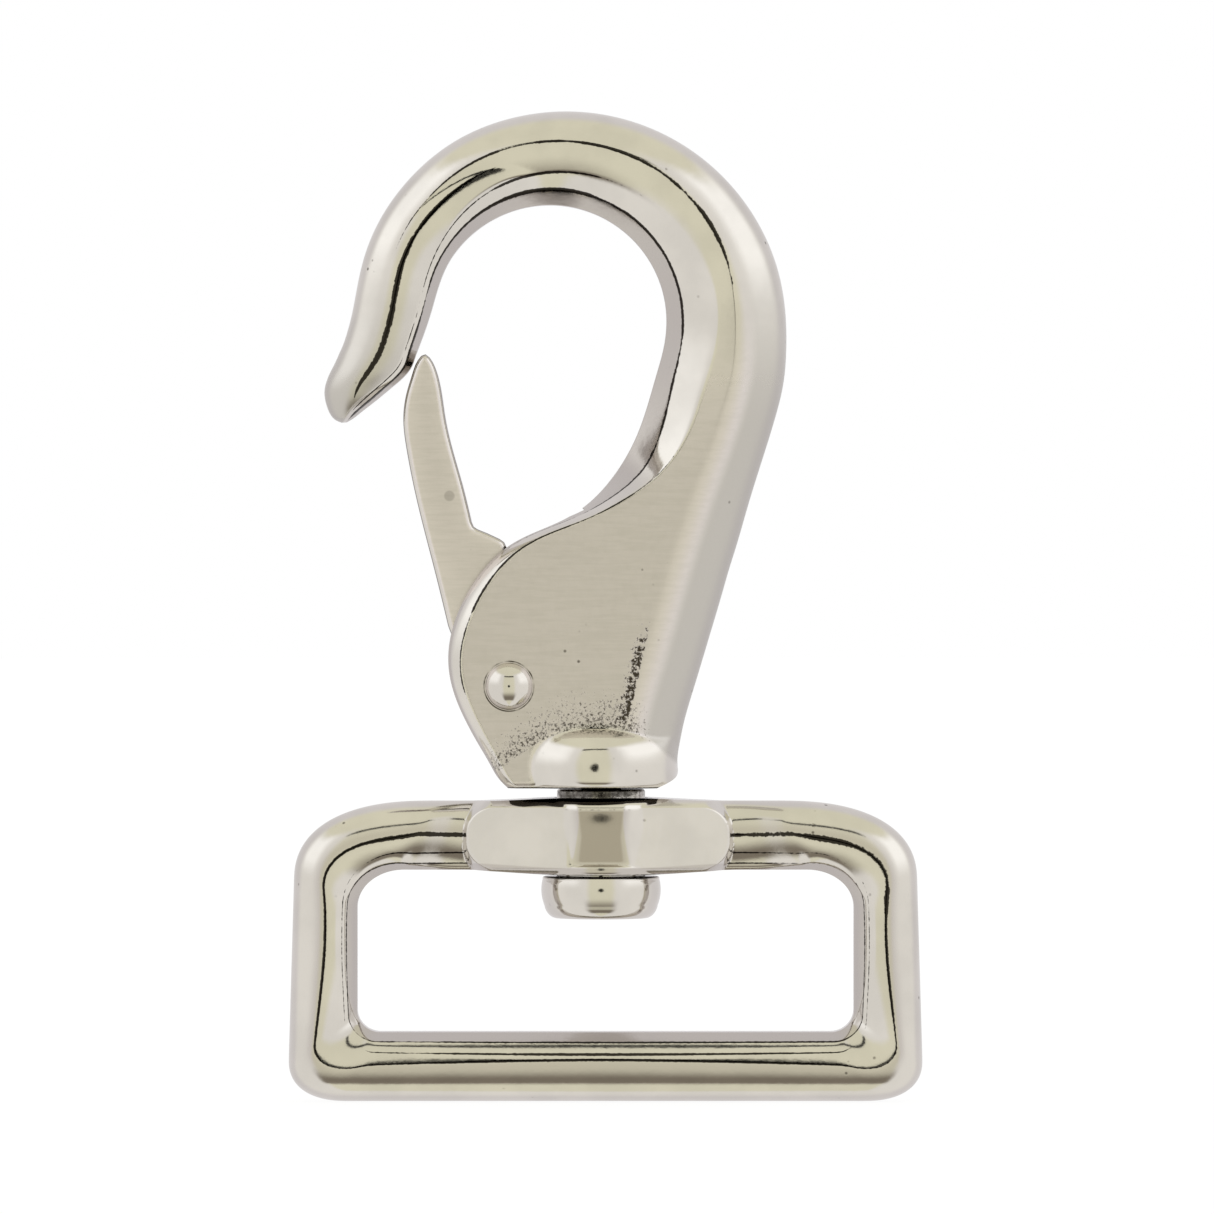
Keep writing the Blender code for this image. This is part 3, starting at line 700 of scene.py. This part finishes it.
# half the strap's clear width, the levels and half widths of the bars, the corners' radii and how
# square the corners are, then the block with its eye and flange
STRAP_HALF = 19.1
STRAP_TOP = 12.5
BAR_TOP = 17.8
TOP_HALF = 24.0
FOOT_HALF = 24.4
OUTER_TOP, INNER_TOP = (10.6, 6.3), (3.6, 2.9)
OUTER_FOOT, INNER_FOOT = (4.6, 3.2), (1.8, 1.7)
OUTER_POWER, INNER_POWER = 2.4, 2.0
LOOP_SHIFT = 0.35
BLOCK_X = -0.23
BLOCK_CENTRE, BLOCK_SIZE, BLOCK_CORNER = (5.0, 14.98), (5.1, 2.3), 2.05
BLOCK_DEPTH = 4.72
BLOCK_FLAT = 2.3
BLOCK_SLOPE = 0.255
EYE_DEPTH, FLANK_DEPTH = 5.28, 5.18
EYE_MIDDLE = 16.45
EYE_LIP = 17.12
EYE_BORE = 3.6
FLANGE_RADIUS = 5.25

SIDE_RIM = (1.5, 2.1, 0.05, 0, 20)
TOP_CREST = (2.7, 2.1, 0.26, 0.05, 3)
TOP_RIM = (1.5, 1.6, 0.05, 0, 20)

# rows as in SECTIONS, with the place round half the loop first: 0 to 1 is half the top bar, 1 to 2 the
# upper corner, 2 to 3 the side, 3 to 4 the lower corner and 4 to 5 half the bottom bar
LOOP_SECTIONS = [
    (0, (1.0, 0.54, 1.6, 0.85, 2.0, 0.02), TOP_CREST, TOP_RIM, (0.7, 0.8, 1.8, 0)),
    (0.79, (1.0, 0.54, 1.6, 0.85, 2.0, 0.02), TOP_CREST, TOP_RIM, (0.7, 0.8, 1.8, 0)),
    (1.0, (1.0, 0.54, 2.02, 0.85, 2.62, 0.04), (2.7, 2.8, 0.26, 0.05, 3), SIDE_RIM, (0.7, 0.8, 1.9, 0)),
    (1.5, (1.0, 0.7, 2.05, 0.6, 2.55, 0.03), (2.7, 2.8, 0.22, 0.05, 3), SIDE_RIM, (0.6, 0.4, 1.2, 0)),
    (2.0, (1.0, 0.8, 2.12, 0.35, 2.45, 0.02), (2.6, 2.8, 0.2, 0.05, 4), SIDE_RIM, (0.6, 0.5, 1.0, 0)),
    (3.0, (1.0, 0.8, 2.15, 0.35, 2.45, 0.02), (2.6, 2.8, 0.18, 0.05, 4), SIDE_RIM, (0.6, 0.5, 1.3, 0)),
    (3.5, (1.1, 0.76, 2.3, 0.6, 2.6, 0.02), (2.8, 2.8, 0.14, 0.04, 4), SIDE_RIM, (0.6, 0.2, 0.5, 0)),
    (4.0, (1.1, 0.74, 2.42, 0.9, 2.76, 0.02), (3.2, 2.8, 0.08, 0.04, 4), SIDE_RIM, (0.8, 0.7, 0.9, 0)),
    (5.0, (1.1, 0.74, 2.42, 0.9, 2.76, 0.02), (3.3, 2.8, 0.08, 0.05, 5), SIDE_RIM, (0.8, 1.1, 1.1, 0)),
]
LOOP_COUNTS = (10, 12, 16, 12, 26)


def rounded_box(x, z, centre, half, radius):
    """Distance from a rounded rectangle, below zero inside."""
    dx = np.maximum(np.abs(x - centre[0]) - half[0] + radius, 0.0)
    dz = np.maximum(np.abs(z - centre[1]) - half[1] + radius, 0.0)
    return np.sqrt(dx**2 + dz**2) - radius


def block_depth(x, z):
    """Half depth of the thicker block in the top bar, which slopes to both sides and falls off steeply."""
    across = np.abs(x - BLOCK_X)
    away = np.maximum(rounded_box(across, z, BLOCK_CENTRE, BLOCK_SIZE, BLOCK_CORNER), 0.0)
    steep = 0.75 + 1.5 * smooth_step(across, 8.2, 9.4)
    face = BLOCK_DEPTH - BLOCK_SLOPE * (np.maximum(across, BLOCK_FLAT) - BLOCK_FLAT)
    return face - steep * away - 0.9 * away**2


def eye_depth(x, z):
    """Half depth of the upright eye in the block's middle: crowned, with two flanks and a round lip."""
    across = np.abs(x)
    lean = np.sqrt((z - EYE_MIDDLE) ** 2 + 1.15**2) - 1.15
    crowned = EYE_DEPTH - x**2 / 30.0 - 0.17 * lean
    flank = FLANK_DEPTH - 0.55 * (across - 1.75) - 0.08 * lean
    lip = np.clip((z - EYE_LIP) / 0.95, 0.0, 1.0)
    face = smooth_min(crowned, flank, 0.04) - 1.2 * (1 - quarter(lip))
    return np.where(across < 4.0, face, 0.0)


def flange_depth(x, z):
    """Half depth of the round flange at the eye's foot, over the stem's button head."""
    fall = np.clip((z - 12.75) / 0.55, 0.0, 1.0)
    rise = np.clip((12.5 - z) / 0.38, 0.0, 1.0)
    flange = np.sqrt(np.maximum(FLANGE_RADIUS**2 - x**2, 0.0)) + 0.05
    return flange - 1.6 * fall**1.5 - 0.35 * (1 - quarter(rise))


def loop_marks(x, z):
    """Painted shade on the eye's middle column, and painted shadow lines under the boss, on the button and
    at the lip.
    """
    across = np.abs(x)
    waisted = across / (1 + 0.07 * np.abs(z - 15.1))
    # painted shade down the eye's middle
    shaded = smooth_step(waisted, 2.25, 1.25) * smooth_step(z, 17.3, 17.0) * smooth_step(z, 12.8, 13.3)
    # painted shadow lines where the loop meets the boss, the button and the lip
    under_boss = smooth_step(z - 0.010 * (x + 1.0) ** 2, 17.72, 17.82)
    on_button = smooth_step(z, 12.28, 12.16) * smooth_step(across, 5.0, 4.6)
    at_lip = np.exp(-(((z - 17.2) / 0.07) ** 2)) * smooth_step(across, 3.4, 2.6) * 0.5
    return 1.5 * shaded, np.maximum(np.maximum(under_boss, on_button), at_lip)


def shape_loop(x, depth, z):
    """The block in the top bar with its eye and flange, and their painted shade and painted shadow lines.
    """
    top_bar = (z > 11.5) & (np.abs(x) < 14.0)
    depth = np.where(top_bar, smooth_max(depth, block_depth(x, z), 0.14), depth)
    depth = np.where(top_bar, smooth_max(depth, eye_depth(x, z), 0.06), depth)
    depth = np.where(top_bar & (z < 13.3), smooth_max(depth, flange_depth(x, z), 0.16), depth)
    shaded, contact_shadow = loop_marks(x, z)
    return depth, np.where(top_bar, shaded, 0.0), np.where(top_bar, contact_shadow, 0.0)


def straight(start, end):
    """A side of the loop, as a function that gives its points at shares of its length."""
    start, end = np.array(start), np.array(end)
    return lambda share: start + (end - start) * column(share)


def corner(side, level, radii, power, upper):
    """A corner of the loop as such a function, from its side and level, for the outer or inner edge."""
    centre = (side - radii[0], level - radii[1] if upper else level + radii[1])
    sign = 1 if upper else -1

    def points(share):
        angle = np.radians(90) * (1 - share if upper else share)
        x = radii[0] * np.maximum(np.cos(angle), 0.0) ** (2 / power)
        z = radii[1] * np.maximum(np.sin(angle), 0.0) ** (2 / power)
        return np.stack([centre[0] + x, centre[1] + sign * z], axis=1)

    return points


def half_loop():
    """Places, inner and outer points round the right half, from the top's middle to the bottom's."""
    sides = [
        (130, straight((0, STRAP_TOP), (STRAP_HALF - INNER_TOP[0], STRAP_TOP)),
         straight((0, BAR_TOP), (TOP_HALF - OUTER_TOP[0], BAR_TOP))),
        (60, corner(STRAP_HALF, STRAP_TOP, INNER_TOP, INNER_POWER, True),
         corner(TOP_HALF, BAR_TOP, OUTER_TOP, OUTER_POWER, True)),
        (40, straight((STRAP_HALF, STRAP_TOP - INNER_TOP[1]), (STRAP_HALF, INNER_FOOT[1])),
         straight((TOP_HALF, BAR_TOP - OUTER_TOP[1]), (FOOT_HALF, LOOP_FOOT + OUTER_FOOT[1]))),
        (50, corner(STRAP_HALF, 0.0, INNER_FOOT, INNER_POWER, False),
         corner(FOOT_HALF, LOOP_FOOT, OUTER_FOOT, OUTER_POWER, False)),
        (90, straight((STRAP_HALF - INNER_FOOT[0], 0), (0, 0)),
         straight((FOOT_HALF - OUTER_FOOT[0], LOOP_FOOT), (0, LOOP_FOOT))),
    ]
    pieces = []
    for place, (count, inner, outer) in enumerate(sides):
        share = np.linspace(0, 1, count, endpoint=place == len(sides) - 1)
        pieces.append((place + share, inner(share), outer(share)))
    return [np.concatenate([piece[i] for piece in pieces]) for i in range(3)]


def loop_casting():
    """The rectangular loop, thicker at its block, with the eye bored for the stem."""
    places, inner, outer = half_loop()
    flip = np.array([-1, 1])
    inner = np.concatenate([inner[:-1], (inner * flip)[:0:-1]])
    outer = np.concatenate([outer[:-1], (outer * flip)[:0:-1]])
    places = np.concatenate([places[:-1], places[:0:-1]])
    rows = blur(np.concatenate([inner, outer], axis=1), 2.2, closed=True)
    sizes = blur(read_sections(LOOP_SECTIONS, places), 8.0, closed=True)
    across = np.abs(rows[:, 2])
    lip = 1 - smooth_step(across, FLANGE_RADIUS - 3.2, FLANGE_RADIUS + 4.2)
    upper = rows[:, 3] > 5
    rows[:, [0, 2]] += LOOP_SHIFT * column(smooth_step(across, 5.5, 14.0))
    rows[:, 1] -= np.where(upper, 0.35 * lip, 0.0)
    rows[:, 3] += np.where(upper, 0.25 * lip, 0.0)
    thick = 2.4 * smooth_step(rows[:, 2], 9.0, 11.0) * smooth_step(rows[:, 3], 7.0, 12.0)
    sizes[:, -2] = np.maximum(sizes[:, -2], thick)
    rings, marks = bar_rings(rows[:, :2], rows[:, 2:], sizes, LOOP_COUNTS, shape_loop, crest_shade=0.9)
    mesh = ring_loft("strap_loop_casting", rings, closed=True, marks=marks)
    loop = new_object("strap_loop_casting", mesh)
    fit_box(loop, "strap_loop")
    cut(loop, cylinder("eye_bore", EYE_BORE, 10.0, 20.0, 96))
    shade(loop.data, 48)
    return loop


# ---------------- node helpers


def feed(tree, socket, value):
    """Links another node's output to the socket, or sets the socket to a number or colour."""
    if isinstance(value, bpy.types.NodeSocket):
        tree.links.new(value, socket)
    else:
        socket.default_value = value


def make_node(tree, kind, inputs=None, **settings):
    node = tree.nodes.new(kind)
    for name, value in settings.items():
        setattr(node, name, value)
    for name, value in (inputs or {}).items():
        feed(tree, node.inputs[name], value)
    return node


def calc(tree, operation, a, b=0.0, c=0.0, clamp=False):
    node = make_node(tree, "ShaderNodeMath", operation=operation, use_clamp=clamp)
    for socket, value in zip(node.inputs, (a, b, c)):
        feed(tree, socket, value)
    return node.outputs[0]


def times(tree, *values):
    """The product of two or more values."""
    product = values[0]
    for value in values[1:]:
        product = calc(tree, "MULTIPLY", product, value)
    return product


def ramp(tree, value, low, high):
    """0 at low, 1 at high, smooth in between. Low may be the larger of the two."""
    limits = {0: value, 1: low, 2: high}
    return make_node(tree, "ShaderNodeMapRange", limits, interpolation_type="SMOOTHSTEP").outputs[0]


def ramp_mm(tree, value, low, high):
    """A ramp over a length, with its limits in millimetres."""
    return ramp(tree, value, low * MM, high * MM)


def mix(tree, factor, a, b):
    """From colour a to colour b as the factor goes from 0 to 1."""
    node = make_node(tree, "ShaderNodeMix", data_type="RGBA")
    for index, value in ((0, factor), (6, a), (7, b)):
        feed(tree, node.inputs[index], value)
    return node.outputs[2]


def noise(tree, where, scale, detail=2.0, rough=0.5):
    inputs = {"Vector": where, "Scale": scale, "Detail": detail, "Roughness": rough}
    return make_node(tree, "ShaderNodeTexNoise", inputs).outputs[0]


def distance(tree, x, z, centre):
    """Distance from a point in the front's plane, given in millimetres."""
    dx = calc(tree, "SUBTRACT", x, centre[0] * MM)
    dz = calc(tree, "SUBTRACT", z, centre[1] * MM)
    return calc(tree, "SQRT", calc(tree, "ADD", times(tree, dx, dx), times(tree, dz, dz)))


def boss_arch(tree, x, z, bend):
    """A height that is equal along arches over the boss; bend says how fast the arches drop."""
    square = calc(tree, "POWER", calc(tree, "ADD", x, -BOSS_X * MM), 2.0)
    return calc(tree, "MULTIPLY_ADD", square, bend, z)


# ---------------- materials

TINT = (0.74, 0.71, 0.66)
STEEL_TINT = (0.5, 0.49, 0.47)
# painted shade colours for the inner walls, beside the crests and on the eye's middle
SHADED = (0.58, 0.545, 0.51, 1.0)
DEEP_SHADED = (0.45, 0.41, 0.365, 1.0)
# black of the painted dark lines
PAINTED_LINE_BLACK = (0.02, 0.016, 0.012, 1.0)
# dark of the pits, and of the painted shade that joins them
PIT_AND_PAINTED_SHADE = (0.07, 0.058, 0.045, 1.0)
CLOUD_SCALE = 260.0
RIPPLE_SCALE = 1900.0
FINE_SCALE = 2600.0
STROKE_SCALE = 3600.0
GRIT_SCALE = 7000.0
PIT_SCALE = 900.0
SATIN_ROUGHNESS = 0.32
SATIN_GAIN = (1.09, 1.065, 1.12)
RIPPLE_HEIGHT = 0.0000045
GRAIN_HEIGHT = 0.0000004


def tinted(tint, *gains):
    """The tint times one gain for all its parts, or one for each, as a colour."""
    gains = gains if len(gains) == 3 else gains * 3
    return (*(part * gain for part, gain in zip(tint, gains)), 1.0)


def brushed_areas(tree, satin, x, y, z, polish):
    """Where the plate is brushed dull, from what half depth on it is flat there, and how bright."""
    if satin == "cheeks":
        brushed = ramp_mm(tree, boss_arch(tree, x, z, 78.0), 23.4, 24.0)
        brushed = calc(tree, "MAXIMUM", brushed, ramp_mm(tree, x, -5.0, -5.6))
        unpolished = calc(tree, "SUBTRACT", 1.0, polish)
        return times(tree, brushed, ramp_mm(tree, z, 60.0, 46.0), unpolished), 3.4, 0.95
    if satin == "all":
        return ramp_mm(tree, calc(tree, "ABSOLUTE", y), 1.80, 1.88), 0.0, 1.0
    return 0.0, 0.0, 1.0


def broken_painted_lines(tree, where, ink, breaks):
    """The painted dark lines made jagged and broken, from the breaks' scale and what is lost in them."""
    scale, loss = breaks
    jagged = calc(tree, "MULTIPLY_ADD", noise(tree, where, STROKE_SCALE, 3.0, 0.6), 0.7, -0.35)
    gaps = ramp(tree, noise(tree, where, scale, 2.0), 0.36, 0.52)
    gaps = calc(tree, "MULTIPLY_ADD", gaps, loss, 1.03 - loss)
    ink = calc(tree, "MULTIPLY_ADD", ink, gaps, times(tree, jagged, ramp(tree, ink, 0.05, 0.3)))
    return times(tree, ramp(tree, ink, 0.36, 0.54), 0.97)


def casting_pits(tree, where, amount):
    """Small round pits, gathered in patches."""
    cells = make_node(tree, "ShaderNodeTexVoronoi", {"Vector": where, "Scale": PIT_SCALE})
    pit = ramp(tree, cells.outputs["Distance"], 0.16, 0.05)
    return times(tree, pit, ramp(tree, noise(tree, where, 330.0, 2.0), 0.60, 0.70), amount)


def nickel(name, tint, rough, satin=None, wave=1.0, pits=0.5, flaws_and_painted_shade=None, breaks=(300.0, 0.45)):
    """Nickel plate: cloudy tint, uneven polish, fine ripple from the casting, pits, painted dark lines and
    painted shade.
    Satin says where the plate is brushed dull: "all", or "cheeks" for the casting's lower half."""
    material = bpy.data.materials.new(name)
    material.use_nodes = True
    tree = material.node_tree
    shader = tree.nodes["Principled BSDF"]
    where = tree.nodes.new("ShaderNodeTexCoord").outputs["Object"]
    x, y, z = make_node(tree, "ShaderNodeSeparateXYZ", {0: where}).outputs
    ink, polish, inner = (
        make_node(tree, "ShaderNodeAttribute", attribute_name=mark).outputs["Fac"]
        for mark in ("ink", "polish", "inner")
    )
    brushed, flat_from, shine = brushed_areas(tree, satin, x, y, z, polish)
    depth = calc(tree, "ABSOLUTE", y)
    flat = times(tree, brushed, ramp_mm(tree, depth, flat_from, flat_from + 0.4))
    grit = ramp(tree, noise(tree, where, GRIT_SCALE, 2.0, 0.6), 0.40, 0.62)
    long_grain = make_node(tree, "ShaderNodeMapping", {"Vector": where, "Scale": (0.10, 1.0, 1.0)})
    strokes = ramp(tree, noise(tree, long_grain.outputs[0], STROKE_SCALE, 2.0, 0.6), 0.38, 0.66)

    cloud = ramp(tree, noise(tree, where, CLOUD_SCALE, 3.0), 0.35, 0.65)
    colour = mix(tree, cloud, tinted(tint, 0.93), tinted(tint, 1.0))
    # painted shade on the inner walls, beside the crests and on the eye's middle
    colour = mix(tree, inner, colour, SHADED)
    colour = mix(tree, ramp(tree, inner, 1.05, 1.45), colour, DEEP_SHADED)
    colour = mix(tree, flat, colour, tinted(tint, *(shine * gain for gain in SATIN_GAIN)))
    colour = mix(tree, calc(tree, "SUBTRACT", brushed, flat), colour, tinted(tint, 0.77))
    colour = mix(tree, times(tree, grit, brushed, 0.07), colour, tinted(tint, 0.9))
    colour = mix(tree, times(tree, strokes, brushed, 0.20), colour, tinted(tint, 0.8))
    # painted dark lines: painted reflection on crests, painted shade on edges and where parts meet
    colour = mix(tree, broken_painted_lines(tree, where, ink, breaks), colour, PAINTED_LINE_BLACK)
    pit = casting_pits(tree, where, pits)
    # painted shade, painted shadow and painted reflection marks join the pits here, in colour and in bump
    if flaws_and_painted_shade:
        pit = calc(tree, "MAXIMUM", pit, flaws_and_painted_shade(tree, where, x, y, z))
    colour = mix(tree, pit, colour, PIT_AND_PAINTED_SHADE)

    fine = noise(tree, where, FINE_SCALE, 3.0, 0.6)
    roughness = calc(tree, "MULTIPLY_ADD", fine, 0.08, rough - 0.04)
    roughness = calc(tree, "MULTIPLY_ADD", inner, 0.04, roughness)
    roughness = calc(tree, "MULTIPLY_ADD", brushed, SATIN_ROUGHNESS - rough, roughness)
    calm = calc(tree, "MULTIPLY_ADD", flat, -0.7 * wave, wave)
    height = calc(tree, "MULTIPLY_ADD", noise(tree, where, RIPPLE_SCALE, 2.0), calm, times(tree, pit, -2.0))
    ripple = {"Height": height, "Strength": 1.0, "Distance": RIPPLE_HEIGHT}
    ripple = make_node(tree, "ShaderNodeBump", ripple).outputs[0]
    grain = {"Height": fine, "Strength": 1.0, "Distance": GRAIN_HEIGHT, "Normal": ripple}
    grain = make_node(tree, "ShaderNodeBump", grain).outputs[0]
    look = {"Base Color": colour, "Roughness": roughness, "Normal": grain, "Metallic": 1.0}
    for name, value in look.items():
        feed(tree, shader.inputs[name], value)
    return material


def casting_flaws_and_rivet_shade(tree, where, x, y, z):
    """A seam of pits beside the cheek's flat, speckles round the boss and painted shade in the crease round
    the rivet.
    """
    front = ramp_mm(tree, y, -3.0, -3.5)
    edge_x = calc(tree, "MULTIPLY_ADD", calc(tree, "SUBTRACT", z, 23.9 * MM), 0.235, 1.8 * MM)
    off = calc(tree, "SUBTRACT", x, edge_x)
    near = times(tree, ramp_mm(tree, off, 0.50, 0.12), ramp_mm(tree, off, -1.70, 0.00))
    along = times(tree, ramp_mm(tree, z, 23.1, 24.3), ramp_mm(tree, z, 35.0, 28.5))
    seam = times(tree, along, near)
    scribble = calc(tree, "MULTIPLY_ADD", seam, 0.38, noise(tree, where, 3000.0, 4.0, 0.75))
    seam = times(tree, ramp(tree, scribble, 0.79, 0.87), ramp(tree, seam, 0.02, 0.15))

    arch = boss_arch(tree, x, z, 62.0)
    ring = times(tree, ramp_mm(tree, arch, 23.3, 23.6), ramp_mm(tree, arch, 27.6, 23.8))
    ring = times(tree, ring, ramp_mm(tree, x, 4.6, 2.2))
    speckle = calc(tree, "MULTIPLY_ADD", ring, 0.20, noise(tree, where, 5200.0, 3.0, 0.7))
    speckle = times(tree, ramp(tree, speckle, 0.65, 0.82), 0.9, ramp(tree, ring, 0.02, 0.3))
    marks = calc(tree, "MULTIPLY", front, calc(tree, "MAXIMUM", seam, speckle), clamp=True)

    # painted shade: a dark ring in the crease round the rivet's dome
    from_rim = calc(tree, "SUBTRACT", distance(tree, x, z, (PIVOT[0], PIVOT[2])), 1.91 * MM)
    crease = ramp_mm(tree, calc(tree, "ABSOLUTE", from_rim), 0.09, 0.02)
    crease = times(tree, crease, ramp(tree, noise(tree, where, 900.0, 2.0), 0.30, 0.62))
    return calc(tree, "MAXIMUM", marks, crease)


def gate_spot_and_painted_rim(tree, where, x, y, z):
    """One small dull spot on the tongue, and a thin dark line painted round its outline as a reflection on
    the rim.
    """
    radius = 0.42
    from_spot = distance(tree, x, z, (PIVOT[0] - 4.6, PIVOT[2] + 14.6))
    spot = times(tree, ramp_mm(tree, from_spot, 1.15 * radius, 0.75 * radius), 0.28)
    depth = calc(tree, "ABSOLUTE", y)
    # painted reflection: a thin dark line on the rounded rim
    rim = times(tree, ramp_mm(tree, depth, 1.50, 1.54), ramp_mm(tree, depth, 1.70, 1.66), 0.75)
    return calc(tree, "MAXIMUM", spot, rim)


def stem_collar_shade(tree, where, x, y, z):
    """Painted shade on the collar between loop and boss, mottled by noise."""
    collar_shade_mottle = ramp(tree, noise(tree, where, 2600.0, 3.0, 0.7), 0.30, 0.70)
    collar = ramp_mm(tree, z, LOOP_TOP - 0.3, LOOP_TOP)
    return times(tree, collar, calc(tree, "MULTIPLY_ADD", collar_shade_mottle, 0.74, 0.06))


# ---------------- studio, floor, camera

BEIGE = (0.85, 0.83, 0.68, 1.0)
WHITE = (0.92, 0.905, 0.88, 1.0)
DARK_GAP = (0.24, 0.21, 0.17, 1.0)
BRIGHT = (1.25, 1.25, 1.25, 1.0)
REAR = (0.79, 0.77, 0.785, 1.0)
DASH = (0.03, 0.03, 0.03, 1.0)
LENS = (0.004, 0.004, 0.004, 1.0)
PURE_WHITE = (1.0, 1.0, 1.0, 1.0)

FLOOR_HALF = 6.0
FLOOR_GAP = 0.00002
FLOOR_GREY = (0.9, 0.9, 0.9, 1.0)
FLOOR_GLOW = 1.05
FLOOR_GLOW_SHARE = 0.88

CAMERA_DISTANCE = 0.7
PICTURE_WIDTH = 93.5
PICTURE_MIDDLE = (0.46, 32.7)
SENSOR = 36.0


def studio():
    """A white tent fixed to the camera's own axes. Behind the camera it has a beige gap with a dark
    stretch low down, a dark dash high up and the lens in its middle. To the sides it is brighter, and
    behind the object greyer. Azimuth counts from straight behind the camera, alike to both sides."""
    world = bpy.data.worlds.new("studio")
    bpy.context.scene.world = world
    world.use_nodes = True
    tree = world.node_tree
    tree.nodes.clear()
    where = tree.nodes.new("ShaderNodeTexCoord").outputs["Camera"]
    unit = make_node(tree, "ShaderNodeVectorMath", {0: where}, operation="NORMALIZE").outputs[0]
    right, up, away = make_node(tree, "ShaderNodeSeparateXYZ", {0: unit}).outputs
    back = times(tree, away, -1.0)
    azimuth = calc(tree, "ABSOLUTE", calc(tree, "DEGREES", calc(tree, "ARCTAN2", right, back)))
    elevation = calc(tree, "DEGREES", calc(tree, "ARCSINE", up))
    off_axis = calc(tree, "DEGREES", calc(tree, "ARCCOSINE", back))

    tent = times(tree, ramp(tree, azimuth, 18.0, 33.0), ramp(tree, elevation, 56.0, 42.0))
    colour = mix(tree, tent, BEIGE, WHITE)
    low_gap = times(tree, ramp(tree, elevation, -20.0, -50.0), ramp(tree, elevation, -68.0, -58.0),
                    ramp(tree, azimuth, 42.0, 24.0))
    colour = mix(tree, low_gap, colour, DARK_GAP)
    sides = times(tree, ramp(tree, azimuth, 34.0, 60.0), ramp(tree, azimuth, 125.0, 90.0),
                  ramp(tree, elevation, 0.0, 26.0), ramp(tree, elevation, 54.0, 42.0))
    colour = mix(tree, sides, colour, BRIGHT)
    colour = mix(tree, ramp(tree, calc(tree, "ABSOLUTE", off_axis), 96.0, 122.0), colour, REAR)
    dash = times(tree, ramp(tree, elevation, 38.0, 40.0), ramp(tree, elevation, 45.0, 43.0),
                 ramp(tree, azimuth, 28.0, 22.0), ramp(tree, off_axis, 100.0, 80.0))
    colour = mix(tree, dash, colour, DASH)
    colour = mix(tree, ramp(tree, off_axis, 6.0, 4.6), colour, LENS)

    seen = tree.nodes.new("ShaderNodeLightPath").outputs["Is Camera Ray"]
    colour = mix(tree, seen, colour, PURE_WHITE)
    background = make_node(tree, "ShaderNodeBackground", {0: colour, 1: 1.0})
    make_node(tree, "ShaderNodeOutputWorld", {0: background.outputs[0]})


def floor():
    """A plain pale floor at the loop's foot that takes only a faint shadow."""
    height = cad_box[0].z - FLOOR_GAP
    corners = [(-1, -1), (1, -1), (1, 1), (-1, 1)]
    points = [(x * FLOOR_HALF, y * FLOOR_HALF, height) for x, y in corners]
    mesh = mesh_from("floor", points, [(0, 1, 2, 3)])
    plane = new_object("floor", mesh)
    material = bpy.data.materials.new("floor_pale")
    material.use_nodes = True
    tree = material.node_tree
    tree.nodes.clear()
    diffuse = make_node(tree, "ShaderNodeBsdfDiffuse", {0: FLOOR_GREY}).outputs[0]
    glow = make_node(tree, "ShaderNodeEmission", {0: PURE_WHITE, 1: FLOOR_GLOW}).outputs[0]
    both = make_node(tree, "ShaderNodeMixShader", {0: FLOOR_GLOW_SHARE, 1: diffuse, 2: glow})
    make_node(tree, "ShaderNodeOutputMaterial", {0: both.outputs[0]})
    mesh.materials.append(material)
    plane.visible_glossy = False


def camera():
    """Square on to the front, level with the object's middle, with a long lens."""
    data = bpy.data.cameras.new("camera")
    obj = new_object("camera", data)
    data.sensor_width = SENSOR
    data.lens = SENSOR * CAMERA_DISTANCE / (PICTURE_WIDTH * MM)
    data.clip_start, data.clip_end = 0.01, 50.0
    obj.location = (PICTURE_MIDDLE[0] * MM, -CAMERA_DISTANCE, PICTURE_MIDDLE[1] * MM)
    obj.rotation_euler = (math.radians(90), 0.0, 0.0)
    bpy.context.scene.camera = obj


# ---------------- pieces on their bodies


def finish_piece(obj, body, node, material):
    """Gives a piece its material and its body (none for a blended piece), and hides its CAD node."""
    obj.data.materials.clear()
    obj.data.materials.append(material)
    if body:
        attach(obj, body)
    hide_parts(node)


def main():
    hook_plate = nickel("hook_plate", TINT, 0.10, "cheeks", 0.8, 0.8, casting_flaws_and_rivet_shade)
    finish_piece(hook_casting(), "hook", "hook_body", hook_plate)
    gate_plate = nickel("gate_plate", TINT, 0.14, "all", 0.6, 0.5, gate_spot_and_painted_rim)
    finish_piece(gate_tongue(), "gate", "gate", gate_plate)
    rivet_plate = nickel("rivet_plate", TINT, 0.08, wave=0.3, pits=0.0)
    finish_piece(rivet(), "hook", "gate_pin", rivet_plate)

    spring = torsion_spring()
    steel = nickel("spring_steel", STEEL_TINT, 0.25, wave=0.3, pits=0.0)
    finish_piece(spring, None, "gate_spring", steel)
    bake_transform(spring)

    stem_plate = nickel("stem_plate", TINT, 0.10, wave=0.6, pits=0.5, flaws_and_painted_shade=stem_collar_shade)
    finish_piece(stem(), "stem", "swivel_stem", stem_plate)
    loop_plate = nickel("loop_plate", TINT, 0.10, wave=0.9, pits=0.8, breaks=(105.0, 0.38))
    finish_piece(loop_casting(), "loop", "strap_loop", loop_plate)

    studio()
    floor()
    camera()
    bpy.context.scene.view_settings.view_transform = "Standard"


main()
